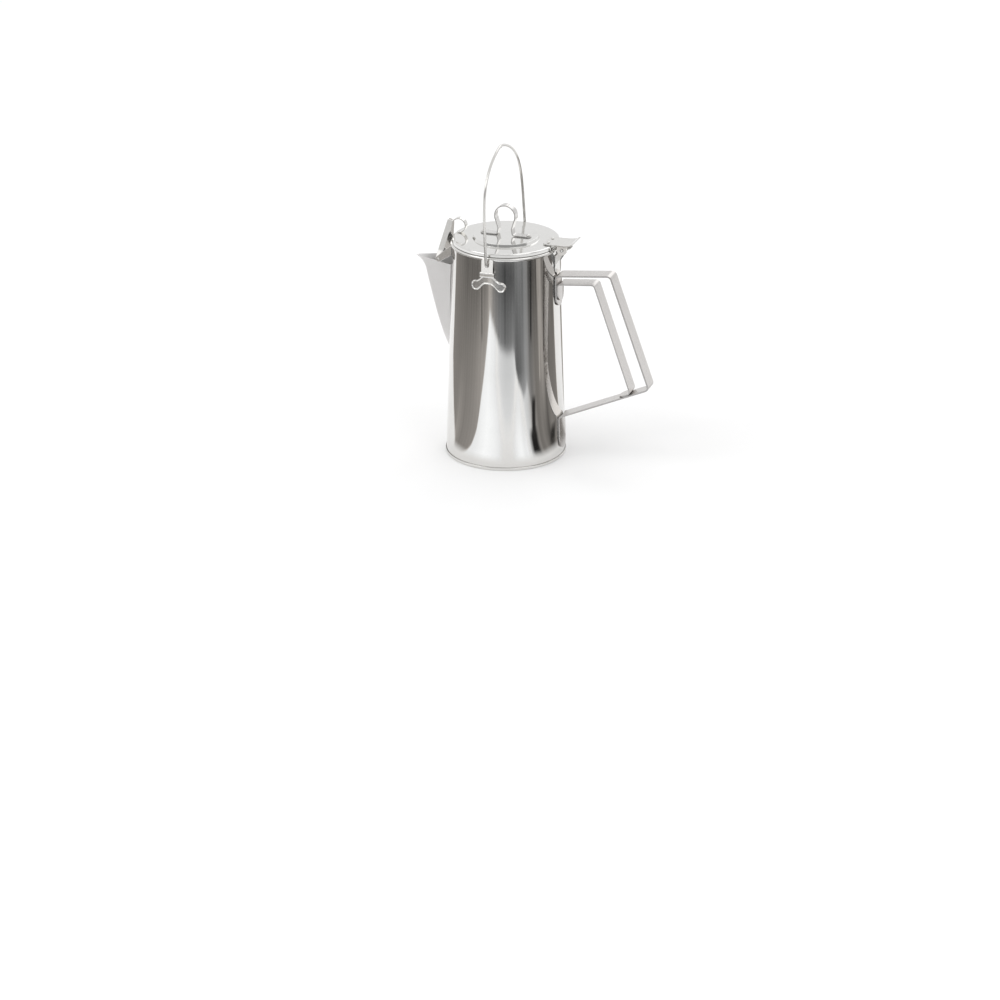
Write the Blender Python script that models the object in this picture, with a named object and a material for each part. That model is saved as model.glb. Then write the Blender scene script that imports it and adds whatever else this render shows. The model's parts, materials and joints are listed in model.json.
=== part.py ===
"""Camp coffee percolator: a tapered steel pot with lid, bail, strap handle, covered spout and pump set.

Frame: the origin is the centre of the flat bottom and Z points up. The handle is towards +X, the spout
towards -X, and the bail turns about a line along Y. Sizes are in millimetres, and every mesh is scaled to
metres when it becomes an object.
"""

import math

import bmesh
import bpy
from mathutils import Matrix, Vector

MM = 0.001
GAP = 0.3
SIDES = 48

# Pot body
RIM_Z = 209.5
TOP_RADIUS = 50.6
BOTTOM_RADIUS = 57.1
WALL = 0.8
BEAD_RADIUS = 1.6
BASE_THICKNESS = 0.9
SEAM_RADIUS = 58.0
SEAM_HEIGHT = 3.0

# Lid
LID_RADIUS = 50.6
LID_FLAT_Z = RIM_Z + 3.8
PLATEAU_Z = RIM_Z + 6.4
PLATEAU_RADIUS = 30.0
LID_SHEET = 0.8
SKIRT_RADIUS = 48.8
SKIRT_DEPTH = 8.0
KNOB_WIDTH = 8.0
KNOB_TOP_Z = RIM_Z + 36.0
RIVET_X = 22.0

# Lid hinge and thumb lever
HINGE_X = 58.0
HINGE_Z = RIM_Z
HINGE_PIN_RADIUS = 1.5
CHEEK_Y = 6.6
KNUCKLE_Y = 8.5
HINGE_SHEET = 1.2
KNUCKLE_RADIUS = 4.8
CHEEK_RADIUS = 3.2
LEVER_START_X = 40.0
LEVER_TIP_X = 69.0
LEVER_HALF_WIDTH = 12.0
LEVER_RIVET_X = 44.0
LEVER_RIVET_Y = 6.4

# Bail
BAIL_PIVOT_Z = RIM_Z - 7.4
BAIL_HALF_WIDTH = 56.4
BAIL_HEIGHT = 99.8
WIRE_RADIUS = 1.3
BAIL_LEAN = math.radians(3.0)
EAR_FACE_Y = 54.2
EAR_SHEET = 1.1

# Strap handle
STRAP_WIDTH = 17.0
OUTER_STRAP = 1.5
INNER_STRAP = 1.2
OUTER_TOP_CORNER = (104.9, RIM_Z - 21.0)
OUTER_LOW_CORNER = (144.2, RIM_Z - 128.7)
INNER_CORNER = (89.3, RIM_Z - 31.2)

# Spout and its cover
SPOUT_TOP_Z = RIM_Z - 22.8
SPOUT_BOTTOM_Z = RIM_Z - 111.3
SPOUT_HALF_WIDTH = 18.8
SPOUT_SHEET = 0.8
COVER_PIN_X = -60.4
COVER_PIN_Z = RIM_Z - 17.9
COVER_PIN_RADIUS = 1.0
COVER_LENGTH = 34.0
COVER_HALF_WIDTH = 17.0
COVER_OPEN = math.radians(101.5)
ARM_Y = 18.8

# Pump set inside the pot
TUBE_RADIUS = 4.0
TUBE_BORE = 3.3
TUBE_TOP_Z = RIM_Z - 14.0
BELL_RADIUS = 40.0
BASKET_RADIUS = 34.0
BASKET_FLOOR_Z = 124.0
BASKET_TOP_Z = 176.0
BASKET_SHEET = 0.7
BASKET_SLEEVE = 5.2


def clear_scene():
    for obj in list(bpy.data.objects):
        bpy.data.objects.remove(obj, do_unlink=True)


def steel(name, colour, roughness):
    """A bare metal surface."""
    made = bpy.data.materials.new(name)
    made.use_nodes = True
    shader = made.node_tree.nodes["Principled BSDF"]
    shader.inputs["Base Color"].default_value = (*colour, 1.0)
    shader.inputs["Roughness"].default_value = roughness
    shader.inputs["Metallic"].default_value = 1.0
    return made


def add_object(name, bm, material, origin=(0.0, 0.0, 0.0)):
    """Turns a mesh in millimetres into an object in metres, with its origin at the given point."""
    bmesh.ops.recalc_face_normals(bm, faces=bm.faces)
    bmesh.ops.translate(bm, verts=bm.verts, vec=-Vector(origin))
    bmesh.ops.scale(bm, verts=bm.verts, vec=(MM, MM, MM))
    mesh = bpy.data.meshes.new(name)
    bm.to_mesh(mesh)
    bm.free()
    mesh.materials.append(material)
    mesh.shade_smooth()
    mesh.set_sharp_from_angle(angle=math.radians(35))
    obj = bpy.data.objects.new(name, mesh)
    obj.location = Vector(origin) * MM
    bpy.context.scene.collection.objects.link(obj)
    return obj


def combine(target, helper, operation):
    """Adds a Boolean to an object, and hides the helper that it uses."""
    helper.hide_render = True
    helper.display_type = "WIRE"
    modifier = target.modifiers.new(helper.name, "BOOLEAN")
    modifier.operation = operation
    modifier.object = helper
    modifier.solver = "EXACT"


def wall_radius(z):
    """Outer radius of the pot wall at a height."""
    return BOTTOM_RADIUS + (TOP_RADIUS - BOTTOM_RADIUS) * z / RIM_Z


def arc(centre, radius, start, end, steps):
    """Points along an arc in a plane, with the angles in degrees."""
    angles = [math.radians(start + (end - start) * i / steps) for i in range(steps + 1)]
    return [(centre[0] + radius * math.cos(a), centre[1] + radius * math.sin(a)) for a in angles]


def filleted(points, radius, steps=5):
    """An open outline with each inner corner rounded off."""
    path = [Vector(points[0])]
    for before, corner, after in zip(points, points[1:], points[2:]):
        corner = Vector(corner)
        to_before = (Vector(before) - corner).normalized()
        to_after = (Vector(after) - corner).normalized()
        half = to_before.angle(to_after) / 2
        reach = min(radius / math.tan(half), 0.45 * (Vector(before) - corner).length)
        start, end = corner + to_before * reach, corner + to_after * reach
        for i in range(steps + 1):
            t = i / steps
            path.append(start * (1 - t) ** 2 + corner * 2 * t * (1 - t) + end * t**2)
    path.append(Vector(points[-1]))
    return path


def stitch(bm, rings, closed_rings, capped):
    """Joins equal rows of points into a skin, and caps the first and the last row."""
    rows = [[bm.verts.new(p) for p in ring] for ring in rings]
    count = len(rows[0])
    for low, high in zip(rows, rows[1:]):
        for i in range(count if closed_rings else count - 1):
            j = (i + 1) % count
            bm.faces.new((low[i], low[j], high[j], high[i]))
    if capped:
        bm.faces.new(rows[0][::-1])
        bm.faces.new(rows[-1])


def lathe(profile, sides=SIDES, centre=(0.0, 0.0)):
    """A solid turned about a vertical line from a closed outline of (radius, z)."""
    bm = bmesh.new()
    rows = []
    for k in range(sides):
        turn = math.tau * k / sides
        rows.append([
            bm.verts.new((centre[0] + r * math.cos(turn), centre[1] + r * math.sin(turn), z))
            for r, z in profile
        ])
    count = len(profile)
    for k in range(sides):
        here, there = rows[k], rows[(k + 1) % sides]
        for i in range(count):
            j = (i + 1) % count
            if profile[i][0] > 0 or profile[j][0] > 0:
                bm.faces.new((here[i], here[j], there[j], there[i]))
    bmesh.ops.remove_doubles(bm, verts=bm.verts, dist=1e-5)
    return bm


def rod(start, end, radius, sides=16):
    """A straight round bar between two points."""
    start, end = Vector(start), Vector(end)
    along = (end - start).normalized()
    across = along.orthogonal().normalized()
    other = along.cross(across)
    bm = bmesh.new()
    rings = []
    for point in (start, end):
        turns = [math.tau * k / sides for k in range(sides)]
        rings.append([
            point + radius * (across * math.cos(t) + other * math.sin(t)) for t in turns
        ])
    stitch(bm, rings, True, True)
    return bm


def wire(path, radius, sides=10):
    """A round wire along a smooth path that stays near one plane."""
    bm = bmesh.new()
    rings = []
    plane = Vector((1.0, 0.0, 0.0))
    for i, point in enumerate(path):
        along = (path[min(i + 1, len(path) - 1)] - path[max(i - 1, 0)]).normalized()
        across = along.cross(plane).normalized()
        other = along.cross(across)
        turns = [math.tau * k / sides for k in range(sides)]
        rings.append([
            point + radius * (across * math.cos(t) + other * math.sin(t)) for t in turns
        ])
    stitch(bm, rings, True, True)
    return bm


def prism(outline, low, high, place):
    """A flat outline given thickness; place turns (u, v, depth) into a point."""
    bm = bmesh.new()
    rings = [[place(u, v, w) for u, v in outline] for w in (low, high)]
    stitch(bm, rings, True, True)
    return bm


def strap(path, thickness, half_widths, hug=None, columns=4):
    """A bent strip of sheet that runs along a path of (x, z), as wide as half_widths says at each point.

    hug gives for each point the radius of the round wall that the strip lies on there, or 0.
    """
    bm = bmesh.new()
    rings = []
    for i, point in enumerate(path):
        along = (path[min(i + 1, len(path) - 1)] - path[max(i - 1, 0)]).normalized()
        normal = Vector((-along.y, along.x)) * thickness / 2
        across = [half_widths[i] * (2 * k / columns - 1) for k in range(columns + 1)]
        radius = hug[i] if hug else 0.0
        ring = []
        for side, ys in ((1, across), (-1, across[::-1])):
            for y in ys:
                sag = math.sqrt(radius**2 - y**2) - radius if radius else 0.0
                at = point + normal * side
                ring.append((at.x + sag, y, at.y))
        rings.append(ring)
    stitch(bm, rings, True, True)
    return bm


def make_pot_wall(metal, plain):
    bead = arc((TOP_RADIUS, RIM_Z - BEAD_RADIUS), BEAD_RADIUS, 180, -90, 9)
    bottom_z = BASE_THICKNESS + GAP
    profile = [
        (BOTTOM_RADIUS - WALL, bottom_z),
        (wall_radius(RIM_Z - 4) - WALL, RIM_Z - 4),
        *bead,
        (TOP_RADIUS + 0.05, RIM_Z - 2 * BEAD_RADIUS - 0.1),
        (BOTTOM_RADIUS, bottom_z),
    ]
    wall = add_object("pot_wall", lathe(profile), metal)
    strainer = ((0, (-8.0, 0.0, 8.0)), (1, (-4.0, 4.0)), (2, (0.0,)))
    for row, places in strainer:
        for column, y in enumerate(places):
            z = SPOUT_TOP_Z - 18.0 - 12.0 * row
            hole = rod((-60.0, y, z), (-40.0, y, z), 2.8, 10)
            cutter = add_object(f"strainer_hole_{row}_{column}", hole, plain)
            combine(wall, cutter, "DIFFERENCE")


def make_pot_base(metal):
    """The flat bottom, with the seam ring that wraps the wall's lower edge."""
    inner = BOTTOM_RADIUS + GAP
    profile = [
        (0.0, 0.0),
        (SEAM_RADIUS - 0.8, 0.0),
        (SEAM_RADIUS, 0.8),
        (SEAM_RADIUS, SEAM_HEIGHT - 0.4),
        (SEAM_RADIUS - 0.3, SEAM_HEIGHT),
        (inner, SEAM_HEIGHT),
        (inner, BASE_THICKNESS),
        (0.0, BASE_THICKNESS),
    ]
    add_object("pot_base", lathe(profile), metal)


def spout_front_x(z):
    """How far out the spout's front edge is at a height: a long slope that flares into a pouring tip."""
    rise = (z - SPOUT_BOTTOM_Z) / (SPOUT_TOP_Z - SPOUT_BOTTOM_Z)
    slope = -56.4 - 26.4 * rise ** 0.74
    lip = 7.2 * max(0.0, (rise - 0.85) / 0.15) ** 2.6
    return slope - lip


def make_spout(metal):
    """A V-shaped trough, open at the top and on the side of the pot."""
    rows, half_columns = 13, 5
    bm = bmesh.new()
    rings = []
    for row in range(rows + 1):
        rise = row / rows
        z = SPOUT_BOTTOM_Z + (SPOUT_TOP_Z - SPOUT_BOTTOM_Z) * rise
        front = spout_front_x(z)
        half = 4.0 + (SPOUT_HALF_WIDTH - 4.0) * rise ** 0.8
        ring = []
        for inset, order in ((0.0, 1), (1.0, -1)):
            width = half - inset * SPOUT_SHEET * 1.15
            tip = front + inset * SPOUT_SHEET * 2.0
            line = []
            for k in range(-half_columns, half_columns + 1):
                s = k / half_columns
                bend = (math.sqrt(s * s + 0.02) - math.sqrt(0.02)) / (math.sqrt(1.02) - math.sqrt(0.02))
                y = width * s
                at_wall = -math.sqrt((wall_radius(z) + GAP + 0.15) ** 2 - width**2)
                line.append((tip + (at_wall - tip) * bend, y, z))
            ring += line[::order]
        rings.append(ring)
    stitch(bm, rings, True, True)
    add_object("spout", bm, metal)


def ear_wing(turned, side):
    """The moustache plate of a bail ear along the wall: a low arch with a round lobe at each end."""
    columns, reach, sheet = 24, 17.3, 1.0
    lobe_half, middle_half, drop = 4.8, 4.5, 6.8
    round_end = lobe_half / reach
    bm = bmesh.new()
    rings = []
    for k in range(columns + 1):
        s = -math.cos(math.pi * k / columns)
        sweep = min(1.0, max(0.0, (abs(s) - 0.12) / 0.58))
        outward = (1 - math.cos(math.pi * sweep)) / 2
        past = max(0.0, (abs(s) - 1 + round_end) / round_end)
        middle_z = RIM_Z - 21.3 - drop * outward
        full = middle_half + (lobe_half - middle_half) * outward
        half = full * max(0.12, math.sqrt(max(0.0, 1 - past**2)))
        low_z, high_z = middle_z - half, middle_z + half
        ring = []
        for z, depth in ((low_z, 0), (high_z, 0), (high_z, 1), (low_z, 1)):
            radius = wall_radius(z) + GAP + depth * sheet
            angle = reach * s / radius
            ring.append((radius * math.sin(angle), side * radius * math.cos(angle), z))
        rings.append(ring)
    stitch(bm, rings, True, True)
    return add_object(f"bail_ear_{turned}", bm, MATERIALS["satin"])


def make_bail_ear(turned, side):
    """A welded ear: wings on the wall, a folded ledge and an upright tab with a slot for the wire."""
    ear = ear_wing(turned, side)

    def place(u, v, w):
        return (u, side * w, v)

    ledge = prism([(-7.0, RIM_Z - 18.6), (7.0, RIM_Z - 18.6), (7.0, RIM_Z - 15.4), (5.4, RIM_Z - 14.0),
                   (-5.4, RIM_Z - 14.0), (-7.0, RIM_Z - 15.4)], TOP_RADIUS + 1.3, EAR_FACE_Y + 0.5, place)
    slot = WIRE_RADIUS + GAP
    tab_half, tab_top, tab_low = 5.4, RIM_Z - 1.4, RIM_Z - 15.0
    outline = [
        (-tab_half, tab_low), (tab_half, tab_low), (tab_half, tab_top - 1.0), (tab_half - 1.0, tab_top),
        (slot + 0.6, tab_top), (slot, tab_top - 0.8),
        *arc((0.0, BAIL_PIVOT_Z), slot, 0, -180, 6),
        (-slot, tab_top - 0.8), (-slot - 0.6, tab_top), (1.0 - tab_half, tab_top), (-tab_half, tab_top - 1.0),
    ]
    tab = prism(outline, EAR_FACE_Y - EAR_SHEET, EAR_FACE_Y, place)
    for part, bm in (("ledge", ledge), ("tab", tab)):
        helper = add_object(f"ear_{part}_{turned}", bm, MATERIALS["satin"])
        combine(ear, helper, "UNION")


def bail_half_width(height):
    """Half the bail's width at a height over its pivots: nearly straight legs, then a pointed arch."""
    rise = height / BAIL_HEIGHT
    legs = BAIL_HALF_WIDTH - 2.6 * rise
    return legs * (1 - rise**5.3) ** 0.75


def make_bail():
    """The wire handle, hooked through the slots of both ears."""
    bend = 2.1
    inner_end = wall_radius(BAIL_PIVOT_Z) + 2 * GAP
    half = [(inner_end, 0.0), (EAR_FACE_Y, 0.0)]
    half += arc((BAIL_HALF_WIDTH - bend, bend), bend, -75, 0, 4)
    steps = 26
    for k in range(1, steps + 1):
        height = BAIL_HEIGHT * math.sin(math.pi / 2 * k / steps) ** 0.9
        if height > bend + 1.0:
            half.append((bail_half_width(min(height, BAIL_HEIGHT)), height))
    half[-1] = (0.0, BAIL_HEIGHT - 0.6)
    flat = [(-w, h) for w, h in half] + [(w, h) for w, h in half[-2::-1]]
    path = [Vector((0.0, w, h)) for w, h in flat]
    bm = wire(path, WIRE_RADIUS)
    bmesh.ops.rotate(bm, verts=bm.verts, matrix=Matrix.Rotation(-BAIL_LEAN, 3, "Y"))
    pivot = (0.0, 0.0, BAIL_PIVOT_Z)
    bmesh.ops.translate(bm, verts=bm.verts, vec=pivot)
    add_object("bail", bm, MATERIALS["wire"], pivot)


def rounded_widths(path, half, first_round, last_round):
    """Half the strap's width at each point, narrowing in a round curve towards its ends."""
    lengths = [0.0]
    for a, b in zip(path, path[1:]):
        lengths.append(lengths[-1] + (b - a).length)
    widths = []
    for at in lengths:
        width = half
        for wanted, far in ((first_round, at), (last_round, lengths[-1] - at)):
            if wanted and far < half:
                width = min(width, half * math.sqrt(max(0.1, 1 - (1 - far / half) ** 2)))
        widths.append(width)
    return widths


def finer(points, length):
    """The points with more added along the straight run at each end."""
    points = [Vector(p) for p in points]
    step = (points[1] - points[0]).normalized() * length / 4
    back = (points[-2] - points[-1]).normalized() * length / 4
    start = [points[0] + step * k for k in range(4)]
    end = [points[-1] + back * k for k in (3, 2, 1, 0)]
    return start + points[1:-1] + end


def wall_line(z, offset):
    return (wall_radius(z) + offset, z)


def make_handle():
    """Two nested straps, spot-welded to the wall and to each other."""
    skin = GAP + OUTER_STRAP / 2
    low_z = RIM_Z - 167.3
    corners = [
        wall_line(RIM_Z - 57.2, skin), wall_line(RIM_Z - 26.6, skin), OUTER_TOP_CORNER,
        OUTER_LOW_CORNER, wall_line(low_z, skin), wall_line(RIM_Z - 200.0, skin),
    ]
    path = finer(filleted(corners, 7.0, 5), 8.0)
    hug = [wall_radius(p.y) if p.x < wall_radius(p.y) + 3.0 else 0.0 for p in path]
    bm = strap(path, OUTER_STRAP, rounded_widths(path, STRAP_WIDTH / 2, True, True), hug)
    add_object("handle_outer_strap", bm, MATERIALS["satin"])

    over = GAP + OUTER_STRAP + GAP + INNER_STRAP / 2
    leg = (Vector(wall_line(low_z, skin)) - Vector(OUTER_LOW_CORNER)).normalized()
    lift = Vector((leg.y, -leg.x)) * (OUTER_STRAP / 2 + GAP + INNER_STRAP / 2)
    if lift.y < 0:
        lift = -lift
    rest = Vector(OUTER_LOW_CORNER) + leg * 19.0 + lift
    landing = rest + leg * 14.0
    corners = [
        wall_line(RIM_Z - 52.0, over), wall_line(RIM_Z - 34.6, over), INNER_CORNER, tuple(rest),
        tuple(landing),
    ]
    path = finer(filleted(corners, 6.0, 5), 7.0)
    hug = [wall_radius(p.y) if p.x < wall_radius(p.y) + 4.5 else 0.0 for p in path]
    bm = strap(path, INNER_STRAP, rounded_widths(path, STRAP_WIDTH / 2, True, True), hug)
    add_object("handle_inner_strap", bm, MATERIALS["satin"])


def make_lid():
    """The pressed lid, its skirt inside the pot and its raised middle."""
    flange_z = RIM_Z + GAP
    shoulder = arc((LID_RADIUS - 3.2, LID_FLAT_Z - 3.2), 3.2, 0, 90, 5)
    outer = [
        (0.0, PLATEAU_Z), (PLATEAU_RADIUS - 1.5, PLATEAU_Z), (PLATEAU_RADIUS, PLATEAU_Z - 0.8),
        (PLATEAU_RADIUS + 1.5, LID_FLAT_Z + 0.3), (PLATEAU_RADIUS + 3.0, LID_FLAT_Z),
    ]
    outer += shoulder[::-1]
    inner_corner = LID_FLAT_Z - LID_SHEET
    under = [
        (LID_RADIUS, flange_z), (SKIRT_RADIUS, flange_z), (SKIRT_RADIUS, RIM_Z - SKIRT_DEPTH),
        (SKIRT_RADIUS - LID_SHEET, RIM_Z - SKIRT_DEPTH), (SKIRT_RADIUS - LID_SHEET, inner_corner - 1.6),
        (SKIRT_RADIUS - 2.2, inner_corner), (PLATEAU_RADIUS + 2.6, inner_corner),
        (PLATEAU_RADIUS - 1.0, PLATEAU_Z - LID_SHEET - 0.4), (PLATEAU_RADIUS - 2.0, PLATEAU_Z - LID_SHEET),
        (0.0, PLATEAU_Z - LID_SHEET),
    ]
    origin = (HINGE_X, 0.0, HINGE_Z)
    add_object("lid_shell", lathe(outer + under), MATERIALS["mirror"], origin)
    return origin


def make_lid_knob(origin):
    """A strap bent into an open loop, riveted to the raised middle."""
    sheet = 1.0
    foot_z = PLATEAU_Z + GAP + sheet / 2
    neck, loop_half = 6.6, 10.0
    loop_z = KNOB_TOP_Z - loop_half - sheet / 2
    left = [(-25.0, foot_z), (-neck - 1.0, foot_z), (-neck, foot_z + 6.0)]
    right = [(neck, foot_z + 6.0), (neck + 1.0, foot_z), (25.0, foot_z)]
    loop = arc((0.0, loop_z), loop_half, 205, -25, 14)
    path = finer(filleted(left + loop + right, 2.2, 3), 4.0)
    bm = strap(path, sheet, rounded_widths(path, KNOB_WIDTH / 2, True, True), None, 2)
    add_object("lid_knob", bm, MATERIALS["satin"], origin)

    for name, x in (("left", -RIVET_X), ("right", RIVET_X)):
        make_rivet(f"knob_rivet_{name}", (x, 0.0), foot_z + sheet / 2 + GAP, 1.9, origin)


def make_rivet(name, centre, z, radius, origin):
    """A low domed rivet head."""
    dome = [(0.0, z + 1.0), (radius * 0.55, z + 0.85), (radius * 0.88, z + 0.45), (radius, z), (0.0, z)]
    add_object(name, lathe(dome, 14, centre), MATERIALS["satin"], origin)


def make_thumb_lever(origin):
    """The lid's thumb plate, with a rounded knuckle at each side of the hinge."""
    sheet = 1.1
    flat_z = LID_FLAT_Z + GAP + sheet / 2
    path = [Vector(p) for p in (
        (LEVER_START_X, flat_z), (LEVER_START_X + 3.0, flat_z), (50.0, flat_z), (61.0, flat_z + 0.3),
        (65.0, flat_z + 0.8), (67.5, flat_z + 1.6), (LEVER_TIP_X, flat_z + 2.8),
    )]
    widths = [LEVER_HALF_WIDTH * f for f in (0.80, 0.92, 0.94, 0.98, 1.06, 1.10, 1.10)]
    lever = add_object("thumb_lever", strap(path, sheet, widths), MATERIALS["satin"], origin)
    for name, side in (("front", -1), ("back", 1)):
        outline = [(HINGE_X - KNUCKLE_RADIUS, flat_z)]
        outline += arc((HINGE_X, HINGE_Z), KNUCKLE_RADIUS, 180, 360, 10)
        outline += [(HINGE_X + KNUCKLE_RADIUS, flat_z)]
        at = sorted((side * KNUCKLE_Y, side * (KNUCKLE_Y + HINGE_SHEET)))
        bm = prism(outline, at[0], at[1], lambda u, v, w: (u, w, v))
        combine(lever, add_object(f"knuckle_{name}", bm, MATERIALS["satin"]), "UNION")
    bore = rod((HINGE_X, -14.0, HINGE_Z), (HINGE_X, 14.0, HINGE_Z), HINGE_PIN_RADIUS + GAP)
    combine(lever, add_object("knuckle_bore", bore, MATERIALS["satin"]), "DIFFERENCE")

    for name, y in (("front", -LEVER_RIVET_Y), ("back", LEVER_RIVET_Y)):
        make_rivet(f"lever_rivet_{name}", (LEVER_RIVET_X, y), flat_z + sheet / 2 + GAP, 1.6, origin)


def make_hinge_bracket():
    """The plate on the pot wall, with a slim cheek inside each knuckle that carries the hinge pin."""
    sheet = 1.0
    off = GAP + sheet / 2
    path = [Vector(wall_line(RIM_Z - z, off)) for z in (25.6, 24.0, 21.0, 16.0, 11.0, 6.5)]
    hug = [wall_radius(p.y) for p in path]
    widths = [6.0, 7.2, *[CHEEK_Y + HINGE_SHEET + 0.2] * 4]
    bracket = add_object("lid_hinge_bracket", strap(path, sheet, widths, hug), MATERIALS["satin"])
    for name, side in (("front", -1), ("back", 1)):
        outline = [wall_line(RIM_Z - 16.0, 0.2), wall_line(RIM_Z - 7.0, 0.2), (HINGE_X - 4.0, RIM_Z - 3.6)]
        outline += arc((HINGE_X, HINGE_Z), CHEEK_RADIUS, 180, -50, 9)
        at = sorted((side * CHEEK_Y, side * (CHEEK_Y + HINGE_SHEET)))
        bm = prism(outline, at[0], at[1], lambda u, v, w: (u, w, v))
        combine(bracket, add_object(f"cheek_{name}", bm, MATERIALS["satin"]), "UNION")
    bore = rod((HINGE_X, -14.0, HINGE_Z), (HINGE_X, 14.0, HINGE_Z), HINGE_PIN_RADIUS + GAP)
    combine(bracket, add_object("cheek_bore", bore, MATERIALS["satin"]), "DIFFERENCE")
    half = KNUCKLE_Y + HINGE_SHEET + 0.9
    pin = rod((HINGE_X, -half, HINGE_Z), (HINGE_X, half, HINGE_Z), HINGE_PIN_RADIUS, 12)
    add_object("lid_hinge_pin", pin, MATERIALS["satin"], (HINGE_X, 0.0, HINGE_Z))


def make_cover_brackets():
    """Two arms that reach down from the rim to the cover's pin."""
    for name, side in (("front", -1), ("back", 1)):
        y = ARM_Y + 0.5
        top_x = -math.sqrt((wall_radius(RIM_Z - 5.0) + GAP) ** 2 - (y + 0.5) ** 2) - 0.1
        low_x = -math.sqrt((wall_radius(RIM_Z - 12.0) + GAP) ** 2 - (y + 0.5) ** 2) - 0.1
        outline = [(top_x, RIM_Z - 4.2), (top_x - 1.5, RIM_Z - 4.2)]
        outline += arc((COVER_PIN_X, COVER_PIN_Z), 2.8, 137, 317, 8)
        outline += [(low_x, RIM_Z - 13.0)]
        at = sorted((side * (y - 0.5), side * (y + 0.5)))
        bm = prism(outline, at[0], at[1], lambda u, v, w: (u, w, v))
        arm = add_object(f"cover_arm_{name}", bm, MATERIALS["satin"])
        ends = [(COVER_PIN_X, end, COVER_PIN_Z) for end in (-25.0, 25.0)]
        bore = rod(*ends, COVER_PIN_RADIUS + GAP, 12)
        combine(arm, add_object(f"arm_bore_{name}", bore, MATERIALS["satin"]), "DIFFERENCE")


def make_spout_cover():
    """The hinged cap of the spout: a tapered channel whose sides hang down when it is shut."""
    sheet, drop = 0.8, 5.1
    stations = [
        (-2.2, 1.0), (0.0, 1.0), (8.0, 0.80), (16.0, 0.60), (24.0, 0.40), (30.0, 0.25),
        (COVER_LENGTH, 0.13),
    ]
    bm = bmesh.new()
    rings = []
    for u, share in stations:
        half = COVER_HALF_WIDTH * share
        top = 1.5
        low = top - drop
        ring = [
            (-half, low), (-half, top), (half, top), (half, low),
            (half - sheet, low), (half - sheet, top - sheet),
            (sheet - half, top - sheet), (sheet - half, low),
        ]
        rings.append([(-u, y, n) for y, n in ring])
    stitch(bm, rings, True, True)
    pin = (COVER_PIN_X, 0.0, COVER_PIN_Z)
    bmesh.ops.translate(bm, verts=bm.verts, vec=pin)
    cover = add_object("spout_cover", bm, MATERIALS["satin"], pin)
    cover.rotation_euler = (0.0, COVER_OPEN, 0.0)
    ends = [(COVER_PIN_X, end, COVER_PIN_Z) for end in (-25.0, 25.0)]
    bore = rod(*ends, COVER_PIN_RADIUS + GAP, 12)
    combine(cover, add_object("cover_bore", bore, MATERIALS["satin"]), "DIFFERENCE")
    half = ARM_Y + 1.6
    shaft = rod((COVER_PIN_X, -half, COVER_PIN_Z), (COVER_PIN_X, half, COVER_PIN_Z), COVER_PIN_RADIUS, 12)
    add_object("spout_cover_pin", shaft, MATERIALS["satin"], pin)


def make_cover_rest(origin):
    """The curled strap at the lid's edge that the open cover leans on."""
    sheet, radius = 1.0, 6.6
    centre = (-46.2, LID_FLAT_Z + GAP + sheet / 2 + radius)
    path = [(-51.3, centre[1] + 4.6), *arc(centre, radius, 118, -90, 14)]
    path.append((centre[0] - 2.0, centre[1] - radius))
    path = [Vector(p) for p in path]
    bm = strap(path, sheet, [2.8] * len(path), None, 1)
    add_object("cover_rest_curl", bm, MATERIALS["satin"], origin)


def make_pump():
    """The pump: a bell that traps steam on the pot's floor, and the tube that lifts the water."""
    floor_z = BASE_THICKNESS + GAP
    bell = [
        (BELL_RADIUS, floor_z), (BELL_RADIUS, floor_z + 1.0), (30.0, floor_z + 7.0), (12.0, floor_z + 13.0),
        (TUBE_RADIUS + 1.8, floor_z + 15.0), (TUBE_RADIUS + 1.8, floor_z + 22.0),
        (TUBE_RADIUS + GAP, floor_z + 22.0),
        (TUBE_RADIUS + GAP, floor_z + 14.0), (12.0, floor_z + 12.0), (30.0, floor_z + 6.0),
        (BELL_RADIUS - 1.0, floor_z),
    ]
    add_object("pump_bell", lathe(bell), MATERIALS["satin"])
    low_z = floor_z + 14.5
    tube = [(TUBE_RADIUS, low_z), (TUBE_RADIUS, TUBE_TOP_Z), (TUBE_BORE, TUBE_TOP_Z), (TUBE_BORE, low_z)]
    add_object("pump_tube", lathe(tube, 20), MATERIALS["satin"])
    top = BASKET_FLOOR_Z - GAP
    collar = [
        (TUBE_RADIUS + GAP, top - 4.0), (TUBE_RADIUS + 2.6, top - 4.0),
        (TUBE_RADIUS + 2.6, top), (TUBE_RADIUS + GAP, top),
    ]
    add_object("basket_collar", lathe(collar, 20), MATERIALS["satin"])


def ring_of_holes(target, count, radius, hole, z, name):
    """Cuts a ring of upright holes through an object."""
    for k in range(count):
        turn = math.tau * (k + 0.5) / count
        x, y = radius * math.cos(turn), radius * math.sin(turn)
        cutter = add_object(f"{name}_{k}", rod((x, y, z - 5), (x, y, z + 5), hole, 6), MATERIALS["satin"])
        combine(target, cutter, "DIFFERENCE")


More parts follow.
